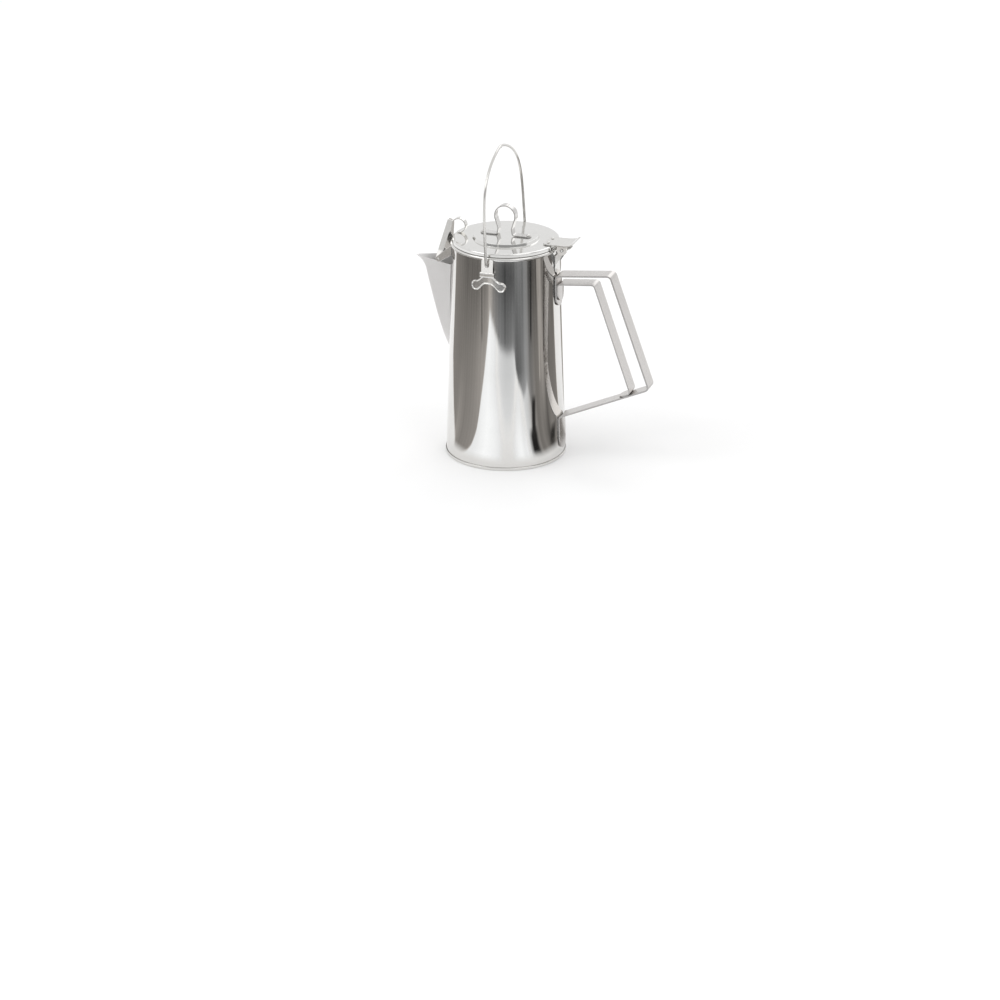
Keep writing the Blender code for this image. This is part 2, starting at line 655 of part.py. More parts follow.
def make_basket():
    """The basket for the ground coffee and the spreader plate that covers it."""
    top, floor, sheet = BASKET_TOP_Z, BASKET_FLOOR_Z, BASKET_SHEET
    cup = [
        (BASKET_SLEEVE, floor), (BASKET_RADIUS - 1.5, floor), (BASKET_RADIUS, floor + 1.5),
        (BASKET_RADIUS, top - 1.0),
        (BASKET_RADIUS + 1.4, top), (BASKET_RADIUS - sheet, top),
        (BASKET_RADIUS - sheet, floor + sheet + 1.0),
        (BASKET_RADIUS - sheet - 1.0, floor + sheet), (BASKET_SLEEVE + sheet, floor + sheet),
        (BASKET_SLEEVE + sheet, floor + 14.0), (BASKET_SLEEVE, floor + 14.0),
    ]
    basket = add_object("coffee_basket", lathe(cup, 40), MATERIALS["satin"])
    ring_of_holes(basket, 8, 13.0, 1.6, floor, "inner_hole")
    ring_of_holes(basket, 12, 24.0, 1.6, floor, "outer_hole")
    seat = top + GAP
    dish = [
        (BASKET_SLEEVE, seat - 4.0), (BASKET_RADIUS - 2.4, seat - 4.0), (BASKET_RADIUS - 2.0, seat),
        (BASKET_RADIUS + 1.4, seat), (BASKET_RADIUS + 1.4, seat + sheet), (BASKET_RADIUS - 2.8, seat + sheet),
        (BASKET_RADIUS - 3.2, seat - 4.0 + sheet), (BASKET_SLEEVE + sheet, seat - 4.0 + sheet),
        (BASKET_SLEEVE + sheet, seat + 3.0), (BASKET_SLEEVE, seat + 3.0),
    ]
    spreader = add_object("basket_spreader", lathe(dish, 40), MATERIALS["satin"])
    ring_of_holes(spreader, 12, 20.0, 1.6, seat - 4.0, "spreader_hole")


clear_scene()
MATERIALS = {
    "mirror": steel("mirror_steel", (0.80, 0.80, 0.79), 0.08),
    "satin": steel("satin_steel", (0.78, 0.77, 0.75), 0.28),
    "wire": steel("wire_steel", (0.62, 0.61, 0.60), 0.22),
}
make_pot_wall(MATERIALS["mirror"], MATERIALS["satin"])
make_pot_base(MATERIALS["mirror"])
make_spout(MATERIALS["mirror"])
make_bail_ear("front", -1)
make_bail_ear("back", 1)
make_bail()
make_handle()
make_hinge_bracket()
LID_ORIGIN = make_lid()
make_lid_knob(LID_ORIGIN)
make_thumb_lever(LID_ORIGIN)
make_cover_rest(LID_ORIGIN)
make_cover_brackets()
make_spout_cover()
make_pump()
make_basket()
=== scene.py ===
"""Looks of the camp coffee percolator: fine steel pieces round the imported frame, a floor and a camera.

Sizes of the pieces are in millimetres. The frame, the camera and the studio are in metres.
"""
import json
import math

import bmesh
import bpy
from mathutils import Matrix, Vector


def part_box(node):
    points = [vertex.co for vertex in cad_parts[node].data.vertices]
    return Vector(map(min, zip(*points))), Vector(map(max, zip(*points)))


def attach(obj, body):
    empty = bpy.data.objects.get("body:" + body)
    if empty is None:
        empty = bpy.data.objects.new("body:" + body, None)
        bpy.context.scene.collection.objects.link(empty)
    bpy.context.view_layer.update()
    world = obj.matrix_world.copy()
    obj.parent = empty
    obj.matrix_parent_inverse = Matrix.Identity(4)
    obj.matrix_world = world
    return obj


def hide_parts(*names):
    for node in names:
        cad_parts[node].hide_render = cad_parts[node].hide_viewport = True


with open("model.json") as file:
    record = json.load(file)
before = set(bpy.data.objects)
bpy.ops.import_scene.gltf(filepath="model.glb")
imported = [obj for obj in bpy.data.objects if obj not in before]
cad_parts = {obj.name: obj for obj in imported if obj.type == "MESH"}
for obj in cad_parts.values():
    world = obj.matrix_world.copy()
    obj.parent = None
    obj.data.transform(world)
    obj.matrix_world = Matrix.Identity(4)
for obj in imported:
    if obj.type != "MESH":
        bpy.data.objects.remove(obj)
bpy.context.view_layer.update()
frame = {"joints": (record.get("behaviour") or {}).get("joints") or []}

MM = 0.001


def top_of(node):
    """The height of a CAD node's top, in millimetres."""
    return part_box(node)[1].z / MM


def joint_at(name):
    """The place of a joint, in millimetres."""
    joint = next(j for j in frame["joints"] if j["name"] == name)
    return Vector(joint["pos_m"]) / MM


# Driving sizes, read from the frame where it holds them
RIM_Z = top_of("pot_wall")
BOTTOM_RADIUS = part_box("pot_wall")[1].x / MM
SEAM_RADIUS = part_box("pot_base")[1].x / MM
BEAD_RADIUS = 1.6
TOP_RADIUS = 50.6
WALL = 0.8
BASE_THICKNESS = 0.9
SEAM_HEIGHT = top_of("pot_base")
GAP = 0.3
LID_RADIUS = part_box("lid_shell")[1].x / MM
PLATEAU_Z = top_of("lid_shell")
LID_FLAT_Z = RIM_Z + 3.8
PLATEAU_RADIUS = 30.0
LID_SHEET = 0.8
SKIRT_RADIUS = 48.8
SKIRT_LOW_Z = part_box("lid_shell")[0].z / MM
HINGE = joint_at("lid_hinge")
COVER_PIN = joint_at("cover_flip")
BAIL_PIVOT = joint_at("bail_swing")
COVER_OPEN = math.radians(101.5)
WIRE_RADIUS = 1.3
CHEEK_Y, KNUCKLE_Y, HINGE_SHEET, HINGE_BORE = 6.6, 8.5, 1.2, 1.8
ROUND = 160

# Outline and mesh helpers


def clamped(value):
    return min(1.0, max(0.0, value))


def wall_radius(z):
    """Outer radius of the tapered wall at a height."""
    return BOTTOM_RADIUS + (TOP_RADIUS - BOTTOM_RADIUS) * z / RIM_Z


def arc(centre, radius, start, end, steps):
    """Points along an arc in a plane, with the angles in degrees."""
    angles = [math.radians(start + (end - start) * i / steps) for i in range(steps + 1)]
    return [(centre[0] + radius * math.cos(a), centre[1] + radius * math.sin(a)) for a in angles]


def filleted(points, radius, steps=8):
    """An open outline with each inner corner rounded off; radius may hold one value for each corner."""
    radii = radius if isinstance(radius, (list, tuple)) else [radius] * (len(points) - 2)
    path = [Vector(points[0])]
    for before, corner, after, r in zip(points, points[1:], points[2:], radii):
        before, corner, after = Vector(before), Vector(corner), Vector(after)
        to_before, to_after = (before - corner).normalized(), (after - corner).normalized()
        half = to_before.angle(to_after) / 2
        if math.pi / 2 - half < 0.02:
            path.append(corner)
            continue
        reach = min(r / math.tan(half), 0.45 * (before - corner).length, 0.45 * (after - corner).length)
        start, end = corner + to_before * reach, corner + to_after * reach
        for i in range(steps + 1):
            t = i / steps
            path.append(start * (1 - t) ** 2 + corner * 2 * t * (1 - t) + end * t**2)
    path.append(Vector(points[-1]))
    return path


def loop_filleted(points, radius, steps=4):
    """A closed outline with every corner rounded off."""
    wrapped = [points[-1], *points, points[0]]
    return filleted(wrapped, radius, steps)[1:-1]


def stitch(bm, rings, capped=True):
    """Joins equal closed rows of points into a skin, and caps the first and the last row."""
    rows = [[bm.verts.new(p) for p in ring] for ring in rings]
    count = len(rows[0])
    for low, high in zip(rows, rows[1:]):
        for i in range(count):
            j = (i + 1) % count
            bm.faces.new((low[i], low[j], high[j], high[i]))
    if capped:
        bm.faces.new(rows[0][::-1])
        bm.faces.new(rows[-1])


def lathe(profile, sides=ROUND, centre=(0.0, 0.0)):
    """A solid turned about a vertical line from a closed outline of (radius, z)."""
    bm = bmesh.new()
    rows = []
    for k in range(sides):
        turn = math.tau * k / sides
        rows.append([
            bm.verts.new((centre[0] + max(r, 0) * math.cos(turn), centre[1] + max(r, 0) * math.sin(turn), z))
            for r, z in profile
        ])
    count = len(profile)
    for k in range(sides):
        here, there = rows[k], rows[(k + 1) % sides]
        for i in range(count):
            j = (i + 1) % count
            if profile[i][0] > 1e-6 or profile[j][0] > 1e-6:
                bm.faces.new((here[i], here[j], there[j], there[i]))
    bmesh.ops.remove_doubles(bm, verts=bm.verts, dist=1e-5)
    return bm


def tube(path, radius_at, sides=24, plane=(1.0, 0.0, 0.0)):
    """A round bar along a path that stays near one plane; radius_at holds one radius for each point."""
    bm = bmesh.new()
    rings = []
    plane = Vector(plane)
    for i, point in enumerate(path):
        along = (path[min(i + 1, len(path) - 1)] - path[max(i - 1, 0)]).normalized()
        across = along.cross(plane).normalized()
        other = along.cross(across)
        turns = [math.tau * k / sides for k in range(sides)]
        rings.append([
            point + radius_at[i] * (across * math.cos(t) + other * math.sin(t)) for t in turns
        ])
    stitch(bm, rings)
    return bm


def headed_pin(centre, half, radius, head, sides=32):
    """A pin along Y whose ends are upset into low domed heads."""
    profile = [(0.0, 0.15), (0.12, 0.62), (0.4, 0.92), (0.7, 1.0), (1.1, 1.0)]
    path = [Vector((centre.x, inset - half, centre.z)) for inset, share in profile]
    radii = [head * share for inset, share in profile]
    path.append(Vector((centre.x, 1.15 - half, centre.z)))
    radii.append(radius)
    path += [Vector((p.x, -p.y, p.z)) for p in path[::-1]]
    radii += radii[::-1]
    return tube(path, radii, sides)


def prism(outline, low, high, place):
    """A flat outline given thickness; place turns (u, v, depth) into a point."""
    bm = bmesh.new()
    stitch(bm, [[place(u, v, w) for u, v in outline] for w in (low, high)])
    return bm


def strap(path, thickness, half_widths, hug=None, columns=8):
    """A bent strip of sheet that runs along a path of (x, z), as wide as half_widths says at each point.

    hug gives for each point the radius of the round wall that the strip lies on there, or 0.
    """
    bm = bmesh.new()
    rings = []
    for i, point in enumerate(path):
        along = (path[min(i + 1, len(path) - 1)] - path[max(i - 1, 0)]).normalized()
        normal = Vector((-along.y, along.x)) * thickness / 2
        across = [half_widths[i] * (2 * k / columns - 1) for k in range(columns + 1)]
        radius = hug[i] if hug else 0.0
        ring = []
        for side, ys in ((1, across), (-1, across[::-1])):
            for y in ys:
                sag = math.sqrt(radius**2 - y**2) - radius if radius else 0.0
                at = point + normal * side
                ring.append((at.x + sag, y, at.y))
        rings.append(ring)
    stitch(bm, rings)
    return bm


def spaced(points, step):
    """The path with extra points on its long runs, so that widths and curves can change along it."""
    out = [Vector(points[0])]
    for a, b in zip(points, points[1:]):
        a, b = Vector(a), Vector(b)
        count = max(1, round((b - a).length / step))
        out += [a + (b - a) * k / count for k in range(1, count + 1)]
    return out


def with_round_ends(points, half):
    """The path with closely set points near both ends, where the strap narrows in a half circle."""
    lengths = [0.0]
    for a, b in zip(points, points[1:]):
        lengths.append(lengths[-1] + (b - a).length)
    total = lengths[-1]

    def at(distance):
        for a, b, start, end in zip(points, points[1:], lengths, lengths[1:]):
            if distance <= end:
                return a.lerp(b, (distance - start) / max(end - start, 1e-9))
        return points[-1]

    near = [half * (1 - math.cos(math.pi / 2 * k / 8)) for k in range(9)]
    middle = [d for d in lengths if half < d < total - half]
    stations = near + middle + [total - d for d in near[::-1]]
    widths = []
    for d in stations:
        edge = min(d, total - d)
        share = 1 - max(0.0, 1 - edge / half) ** 2
        widths.append(half * math.sqrt(max(share, 0.004)))
    return [at(d) for d in stations], widths


# Materials


def node(tree, kind, **settings):
    """A new shader node with some of its properties or inputs set."""
    made = tree.nodes.new(kind)
    for name, value in settings.items():
        if hasattr(made, name):
            setattr(made, name, value)
        else:
            made.inputs[name.replace("_", " ")].default_value = value
    return made


def noise(tree, place, stretch, size, detail, rough):
    """Noise over a piece: stretch scales it along each axis, and size is its own scale."""
    mapping = node(tree, "ShaderNodeMapping", Scale=stretch)
    made = node(tree, "ShaderNodeTexNoise", Scale=size, Detail=detail, Roughness=rough)
    tree.links.new(place.outputs["Object"], mapping.inputs["Vector"])
    tree.links.new(mapping.outputs["Vector"], made.inputs["Vector"])
    return made.outputs["Fac"]


def paint_side_shade(tree, place, colour, side_shade):
    """The colour with painted shade: darkened on the thin sides of a strap, which face along Y."""
    split = node(tree, "ShaderNodeSeparateXYZ")
    sideways = node(tree, "ShaderNodeMath", operation="ABSOLUTE")
    edge = node(tree, "ShaderNodeMapRange", From_Min=0.6, From_Max=0.95, To_Max=side_shade)
    side_shaded = node(tree, "ShaderNodeMix", data_type="RGBA", blend_type="MULTIPLY", B=(0.10, 0.10, 0.10, 1.0))
    link = tree.links.new
    link(place.outputs["Normal"], split.inputs["Vector"])
    link(split.outputs["Y"], sideways.inputs[0])
    link(sideways.outputs["Value"], edge.inputs["Value"])
    link(edge.outputs["Result"], side_shaded.inputs["Factor"])
    link(colour, side_shaded.inputs["A"])
    return side_shaded.outputs["Result"]


def matt_side(tree, place, rough, metal, shader):
    """Leaves the side of a turned piece that faces the pot's axis unpolished."""
    flat = node(tree, "ShaderNodeVectorMath", operation="MULTIPLY")
    flat.inputs[1].default_value = (1.0, 1.0, 0.0)
    outward = node(tree, "ShaderNodeVectorMath", operation="DOT_PRODUCT")
    inside = node(tree, "ShaderNodeMath", operation="LESS_THAN")
    inside.inputs[1].default_value = 0.0
    dull = node(tree, "ShaderNodeMix", data_type="FLOAT", B=0.45)
    less = node(tree, "ShaderNodeMapRange", To_Min=metal, To_Max=0.6)
    link = tree.links.new
    link(place.outputs["Object"], flat.inputs[0])
    link(flat.outputs["Vector"], outward.inputs[0])
    link(place.outputs["Normal"], outward.inputs[1])
    link(outward.outputs["Value"], inside.inputs[0])
    link(inside.outputs["Value"], dull.inputs["Factor"])
    link(rough, dull.inputs["A"])
    link(dull.outputs["Result"], shader.inputs["Roughness"])
    link(inside.outputs["Value"], less.inputs["Value"])
    link(less.outputs["Result"], shader.inputs["Metallic"])


def steel(name, colours, roughness, grain, size, bump, waves=0.0, side_shade=0.0, metal=1.0, matt_inside=False):
    """Bare stainless steel: two close tones, a roughness that varies with the polish, and a fine grain.

    grain stretches the fine noise along each axis, size is its scale, bump is its height in millimetres,
    and waves is the height of a slow unevenness like that of hand-formed sheet.
    """
    made = bpy.data.materials.new(name)
    made.use_nodes = True
    tree = made.node_tree
    link = tree.links.new
    shader = tree.nodes["Principled BSDF"]
    shader.inputs["Metallic"].default_value = metal
    place = node(tree, "ShaderNodeTexCoord")
    fine = noise(tree, place, grain, size, 6.0, 0.65)
    smudge = noise(tree, place, (1.0, 1.0, 1.0), 28.0, 3.0, 0.5)
    mixed = node(tree, "ShaderNodeMix", data_type="FLOAT", Factor=0.5)
    link(fine, mixed.inputs["A"])
    link(smudge, mixed.inputs["B"])
    tone = node(tree, "ShaderNodeValToRGB")
    for stop, position, colour in zip(tone.color_ramp.elements, (0.30, 0.72), colours):
        stop.position = position
        stop.color = (*colour, 1.0)
    link(mixed.outputs["Result"], tone.inputs["Fac"])
    painted = tone.outputs["Color"]
    # Painted shade: the colour is darkened on the thin sides of straps, which face along Y.
    if side_shade:
        painted = paint_side_shade(tree, place, painted, side_shade)
    link(painted, shader.inputs["Base Color"])
    least, most = roughness
    rough = node(tree, "ShaderNodeMapRange", From_Min=0.3, From_Max=0.7, To_Min=least, To_Max=most)
    link(mixed.outputs["Result"], rough.inputs["Value"])
    if matt_inside:
        matt_side(tree, place, rough.outputs["Result"], metal, shader)
    else:
        link(rough.outputs["Result"], shader.inputs["Roughness"])
    ridges = node(tree, "ShaderNodeBump", Strength=1.0, Distance=bump * MM)
    link(fine, ridges.inputs["Height"])
    if waves:
        sway = node(tree, "ShaderNodeBump", Strength=1.0, Distance=waves * MM)
        link(noise(tree, place, (1.0, 1.0, 0.25), 14.0, 1.0, 0.4), sway.inputs["Height"])
        link(sway.outputs["Normal"], ridges.inputs["Normal"])
    link(ridges.outputs["Normal"], shader.inputs["Normal"])
    return made


MIRROR = steel(
    "mirror_steel", ((0.70, 0.69, 0.67), (0.78, 0.77, 0.755)), (0.03, 0.075),
    grain=(1, 1, 6), size=420.0, bump=0.0006, waves=0.12, matt_inside=True,
)
LID_MIRROR = steel(
    "lid_steel", ((0.72, 0.715, 0.70), (0.80, 0.795, 0.78)), (0.05, 0.11),
    grain=(1, 1, 1), size=300.0, bump=0.0006, waves=0.05,
)
# The satin steel darkens the thin sides of its straps with painted shade.
SATIN = steel(
    "satin_steel", ((0.55, 0.53, 0.515), (0.66, 0.64, 0.625)), (0.20, 0.32),
    grain=(1, 14, 1), size=300.0, bump=0.002, side_shade=0.3,
)
# The knob steel also darkens its strap's thin sides with painted shade.
KNOB_STEEL = steel(
    "knob_steel", ((0.60, 0.59, 0.58), (0.72, 0.71, 0.70)), (0.20, 0.30),
    grain=(1, 14, 1), size=300.0, bump=0.001, side_shade=0.2,
)
POLISHED = steel(
    "polished_fittings", ((0.68, 0.67, 0.65), (0.78, 0.77, 0.75)), (0.08, 0.16),
    grain=(1, 1, 1), size=500.0, bump=0.001,
)
WIRE = steel(
    "drawn_wire", ((0.62, 0.61, 0.59), (0.76, 0.75, 0.73)), (0.12, 0.24),
    grain=(1, 1, 0.1), size=900.0, bump=0.001,
)
SPOUT_STEEL = steel(
    "spout_steel", ((0.69, 0.682, 0.678), (0.76, 0.752, 0.748)), (0.40, 0.50),
    grain=(1, 1, 4), size=300.0, bump=0.001, metal=0.5,
)
EAR_STEEL = steel(
    "ear_steel", ((0.72, 0.71, 0.69), (0.82, 0.81, 0.79)), (0.10, 0.18),
    grain=(1, 1, 1), size=500.0, bump=0.001,
)
INNER = steel(
    "inner_steel", ((0.62, 0.62, 0.61), (0.72, 0.72, 0.71)), (0.22, 0.36),
    grain=(1, 1, 8), size=300.0, bump=0.001,
)

# Pieces


def add_object(name, data):
    """A new object in the scene that shows a mesh, a light or a camera."""
    obj = bpy.data.objects.new(name, data)
    bpy.context.scene.collection.objects.link(obj)
    return obj


def mesh_of(name, bm, material):
    """A mesh with one material."""
    mesh = bpy.data.meshes.new(name)
    bm.to_mesh(mesh)
    bm.free()
    mesh.materials.append(material)
    return mesh


def smooth(mesh):
    """Smooth shading, broken where two faces meet at a clear angle."""
    mesh.shade_smooth()
    mesh.set_sharp_from_angle(angle=math.radians(35))


def add_solid(name, bm, material):
    """An object in metres from a mesh in millimetres."""
    bmesh.ops.recalc_face_normals(bm, faces=bm.faces)
    bmesh.ops.scale(bm, verts=bm.verts, vec=(MM, MM, MM))
    mesh = mesh_of(name, bm, material)
    smooth(mesh)
    return add_object(name, mesh)


def make_piece(name, bm, material, body, cad_node, edge=0.0, segments=2):
    """A piece that rides on a body and stands for a CAD node; edge rounds its sharp edges, in millimetres."""
    obj = add_solid(name, bm, material)
    if edge:
        soften(obj, edge, segments)
    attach(obj, body)
    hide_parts(cad_node)
    return obj


def soften(obj, width, segments):
    """Rounds the sharp edges of a piece."""
    soft = obj.modifiers.new("soft_edges", "BEVEL")
    soft.width = width * MM
    soft.segments = segments
    soft.limit_method = "ANGLE"
    soft.angle_limit = math.radians(38)
    soft.harden_normals = True


def combine(target, bm, operation):
    """Joins a solid to a piece, or cuts it out of it, and keeps only the result."""
    helper = add_solid("helper", bm, POLISHED)
    others = list(target.modifiers)
    for other in others:
        other.show_viewport = False
    modifier = target.modifiers.new("combine", "BOOLEAN")
    modifier.operation = operation
    modifier.object = helper
    modifier.solver = "EXACT"
    graph = bpy.context.evaluated_depsgraph_get()
    graph.update()
    result = bpy.data.meshes.new_from_object(target.evaluated_get(graph), depsgraph=graph)
    for other in others:
        other.show_viewport = True
    target.modifiers.remove(modifier)
    old = target.data
    target.data = result
    smooth(result)
    bpy.data.meshes.remove(old)
    bpy.data.objects.remove(helper, do_unlink=True)


def side_plate(outline, side, near, far):
    """A flat plate that faces along Y, between two distances from the middle plane on one side of it."""
    low, high = sorted((side * near, side * far))
    return prism(outline, low, high, lambda u, v, w: (u, w, v))


def drill(target, centre, radius, ends, sides):
    """Drills a piece along Y, from one end to the other."""
    path = [Vector((centre.x, y, centre.z)) for y in ends]
    combine(target, tube(path, [radius, radius], sides), "DIFFERENCE")


def add_wall():
    """The tapered wall with its rolled rim, and the strainer holes behind the spout."""
    bead_centre = (TOP_RADIUS, RIM_Z - BEAD_RADIUS)
    bead = arc(bead_centre, BEAD_RADIUS, 180, -100, 22)
    low = BASE_THICKNESS + GAP
    under_bead = RIM_Z - 2 * BEAD_RADIUS
    profile = [(BOTTOM_RADIUS - WALL, low)]
    profile += [(wall_radius(z) - WALL, z) for z in (6.0, 60.0, 120.0, RIM_Z - 8.0, RIM_Z - 4.5)]
    profile += bead
    profile += [(wall_radius(z) + 0.02, z) for z in (under_bead - 0.15, under_bead - 0.5, under_bead - 1.2)]
    profile += [(wall_radius(z), z) for z in (180.0, 120.0, 60.0, 8.0, 4.0, low)]
    wall = make_piece("polished_wall", lathe(profile), MIRROR, "pot", "pot_wall")
    for row, places in enumerate(((-8.0, 0.0, 8.0), (-4.0, 4.0), (0.0,))):
        z = top_of("spout") - 18.0 - 12.0 * row
        for y in places:
            path = [Vector((x, y, z)) for x in (-60.0, -40.0)]
            combine(wall, tube(path, [2.8, 2.8], 28, (0, 0, 1)), "DIFFERENCE")


def add_base():
    """The flat bottom and the rolled seam that wraps the wall's lower edge."""
    inner = BOTTOM_RADIUS + GAP
    seam = [
        (0.0, 0.35), (46.0, 0.35), (48.0, 0.0), (SEAM_RADIUS - 1.0, 0.0),
        *arc((SEAM_RADIUS - 0.9, 0.9), 0.9, -80, 0, 6),
        *arc((SEAM_RADIUS - 0.35, SEAM_HEIGHT - 0.35), 0.35, 0, 90, 5),
        (inner + 0.1, SEAM_HEIGHT), (inner, SEAM_HEIGHT - 0.15), (inner, BASE_THICKNESS),
        (46.5, BASE_THICKNESS), (45.0, BASE_THICKNESS + 0.2), (0.0, BASE_THICKNESS + 0.2),
    ]
    make_piece("rolled_base", lathe(seam), MIRROR, "pot", "pot_base")


def spout_front_x(rise):
    """How far out the spout's front edge is: a long slope that flares into a pouring tip."""
    slope = -56.4 - 26.4 * rise**0.74
    return slope - 7.2 * max(0.0, (rise - 0.85) / 0.15) ** 2.6


def add_spout():
    """A V-shaped sheet trough, with a softly rounded keel and a fine rolled edge."""
    low_z, high_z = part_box("spout")[0].z / MM, top_of("spout")
    sheet, half_top, half_low, rows, half_columns = 0.8, 18.8, 4.0, 44, 20
    keel = 0.015
    bm = bmesh.new()
    rings = []
    rises = [1 - (1 - k / rows) ** 1.15 for k in range(rows + 1)]
    for rise in rises:
        z = low_z + (high_z - low_z) * rise
        front = spout_front_x(rise)
        half = half_low + (half_top - half_low) * rise**0.8
        ring = []
        for inset, order in ((0.0, 1), (1.0, -1)):
            width = half - inset * sheet * 1.15
            tip = front + inset * sheet * 2.0
            at_wall = -math.sqrt((wall_radius(z) + GAP + 0.15) ** 2 - width**2)
            line = []
            for k in range(-half_columns, half_columns + 1):
                s = k / half_columns
                s = math.copysign(abs(s) ** 1.25, s)
                bend = (math.sqrt(s * s + keel) - math.sqrt(keel)) / (math.sqrt(1 + keel) - math.sqrt(keel))
                line.append((tip + (at_wall - tip) * bend, width * s, z))
            ring += line[::order]
        rings.append(ring)
    stitch(bm, rings)
    make_piece("pouring_spout", bm, SPOUT_STEEL, "pot", "spout", 0.22)


def ear_plate(side):
    """The drooping plate of an ear, which follows the wall and has a raised border."""
    columns, reach, plate = 80, 17.3, 0.8
    lobe_half, middle_half, drop = 4.8, 4.5, 6.8
    border_in, border_width, border_height = 0.65, 0.36, 0.6
    round_end = lobe_half / reach
    shares = [0.0, 0.25, 0.45, 0.58, 0.68, 0.76, 0.83, 0.90, 0.96, 1.0]
    rows = [-v for v in shares[:0:-1]] + shares
    rings = []
    for k in range(columns + 1):
        s = -math.cos(math.pi * k / columns)
        outward = (1 - math.cos(math.pi * clamped((abs(s) - 0.12) / 0.58))) / 2
        past = max(0.0, (abs(s) - 1 + round_end) / round_end)
        middle = RIM_Z - 21.3 - drop * outward
        full = middle_half + (lobe_half - middle_half) * outward
        half = full * max(0.02, math.sqrt(max(0.0, 1 - past**2)))
        heights = [middle + half * v for v in rows]
        ring = [on_wall(wall_radius(z) + GAP, reach * s, z, side) for z in heights]
        for v, z in zip(rows[::-1], heights[::-1]):
            inward = full * max(0.0, 1 - math.hypot(past, half * v / full))
            border = border_height * math.exp(-((inward - border_in) / border_width) ** 2)
            height = plate * min(1.0, 0.35 + inward) + border
            ring.append(on_wall(wall_radius(z) + GAP + height, reach * s, z, side))
        rings.append(ring)
    bm = bmesh.new()
    stitch(bm, rings)
    return bm


def add_ear(turned, side):
    """A welded ear: a plate on the wall, a folded ledge and a slotted tab for the wire."""
    cad_node = f"bail_ear_{turned}"
    ear = make_piece(f"{turned}_ear", ear_plate(side), EAR_STEEL, "pot", cad_node)
    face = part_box(cad_node)
    outer = max(abs(face[0].y), abs(face[1].y)) / MM - 0.5
    inner, ledge_low, ledge_top = 51.9, RIM_Z - 18.6, RIM_Z - 14.0
    fold = loop_filleted([
        (inner, ledge_low), (outer + 0.5, ledge_low), (outer + 0.5, ledge_top - 1.2),
        (outer - 0.1, ledge_top), (inner, ledge_top),
    ], 0.9, 5)
    combine(ear, prism(fold, -7.0, 7.0, lambda u, v, w: (w, side * u, v)), "UNION")
    slot, half, top, low = WIRE_RADIUS + GAP, 5.6, RIM_Z - 1.4, RIM_Z - 15.0
    lean = math.tan(math.radians(4.5))
    right = [(-half, low), (half, low), (half, top), (slot + 0.3, top), (slot, top - 1.2)]
    left = [(-slot, top - 1.2), (-slot - 0.3, top), (-half, top), (-half, low)]
    outline = filleted(right, [0.1, 1.3, 0.5], 5)
    outline += [Vector(p) for p in arc((0.0, BAIL_PIVOT.z), slot, 0, -180, 14)]
    outline += filleted(left, [0.5, 1.3], 5)[:-1]
    tab = prism(outline, outer - 1.1, outer, lambda u, v, w: (u, side * (w - (v - low) * lean), v))
    combine(ear, tab, "UNION")
    soften(ear, 0.28, 3)


def on_wall(radius, along, z, side):
    """A point on a round wall, at a distance along it from the plane of the bail."""
    angle = along / radius
    return (radius * math.sin(angle), side * radius * math.cos(angle), z)


def add_bail():
    """The wire handle: upset ends behind the ears, nearly straight legs and an arch with a small kink."""
    lean, height, half_width, bend, steps = math.radians(3.0), 99.8, 56.4, 2.1, 90
    inner_end, face = wall_radius(BAIL_PIVOT.z) + 2 * GAP, 54.2
    half = [(inner_end, 0.0), (inner_end + 0.3, 0.0), (face - 1.0, 0.0), (face, 0.0)]
    radii = [WIRE_RADIUS * 0.7, WIRE_RADIUS, WIRE_RADIUS, WIRE_RADIUS]
    half += arc((half_width - bend, bend), bend, -78, 0, 10)
    for k in range(1, steps + 1):
        at = height * math.sin(math.pi / 2 * k / steps) ** 0.9
        if at > bend + 0.6:
            rise = min(1.0, at / height)
            half.append(((half_width - 2.6 * rise) * (1 - rise**5.3) ** 0.75, min(at, height)))
    half[-1] = (0.0, height - 0.9)
    half[-2] = (half[-2][0], height - 0.35)
    radii += [WIRE_RADIUS] * (len(half) - len(radii))
    path = [Vector((0.0, -w, h)) for w, h in half] + [Vector((0.0, w, h)) for w, h in half[-2::-1]]
    radii = radii + radii[-2::-1]
    bm = tube(path, radii, 28)
    bmesh.ops.rotate(bm, verts=bm.verts, matrix=Matrix.Rotation(-lean, 3, "Y"))
    bmesh.ops.translate(bm, verts=bm.verts, vec=BAIL_PIVOT)
    make_piece("carrying_bail", bm, WIRE, "bail_handle", "bail", 0.3, 3)


def wall_line(z, offset):
    """A point (x, z) at a distance outside the wall on the handle's side."""
    return (wall_radius(z) + offset, z)


def hugging(path, reach):
    """For each point of a path, the wall's radius there, faded out where the path leaves the wall."""
    return [wall_radius(p.y) if p.x < wall_radius(p.y) + reach else 0.0 for p in path]


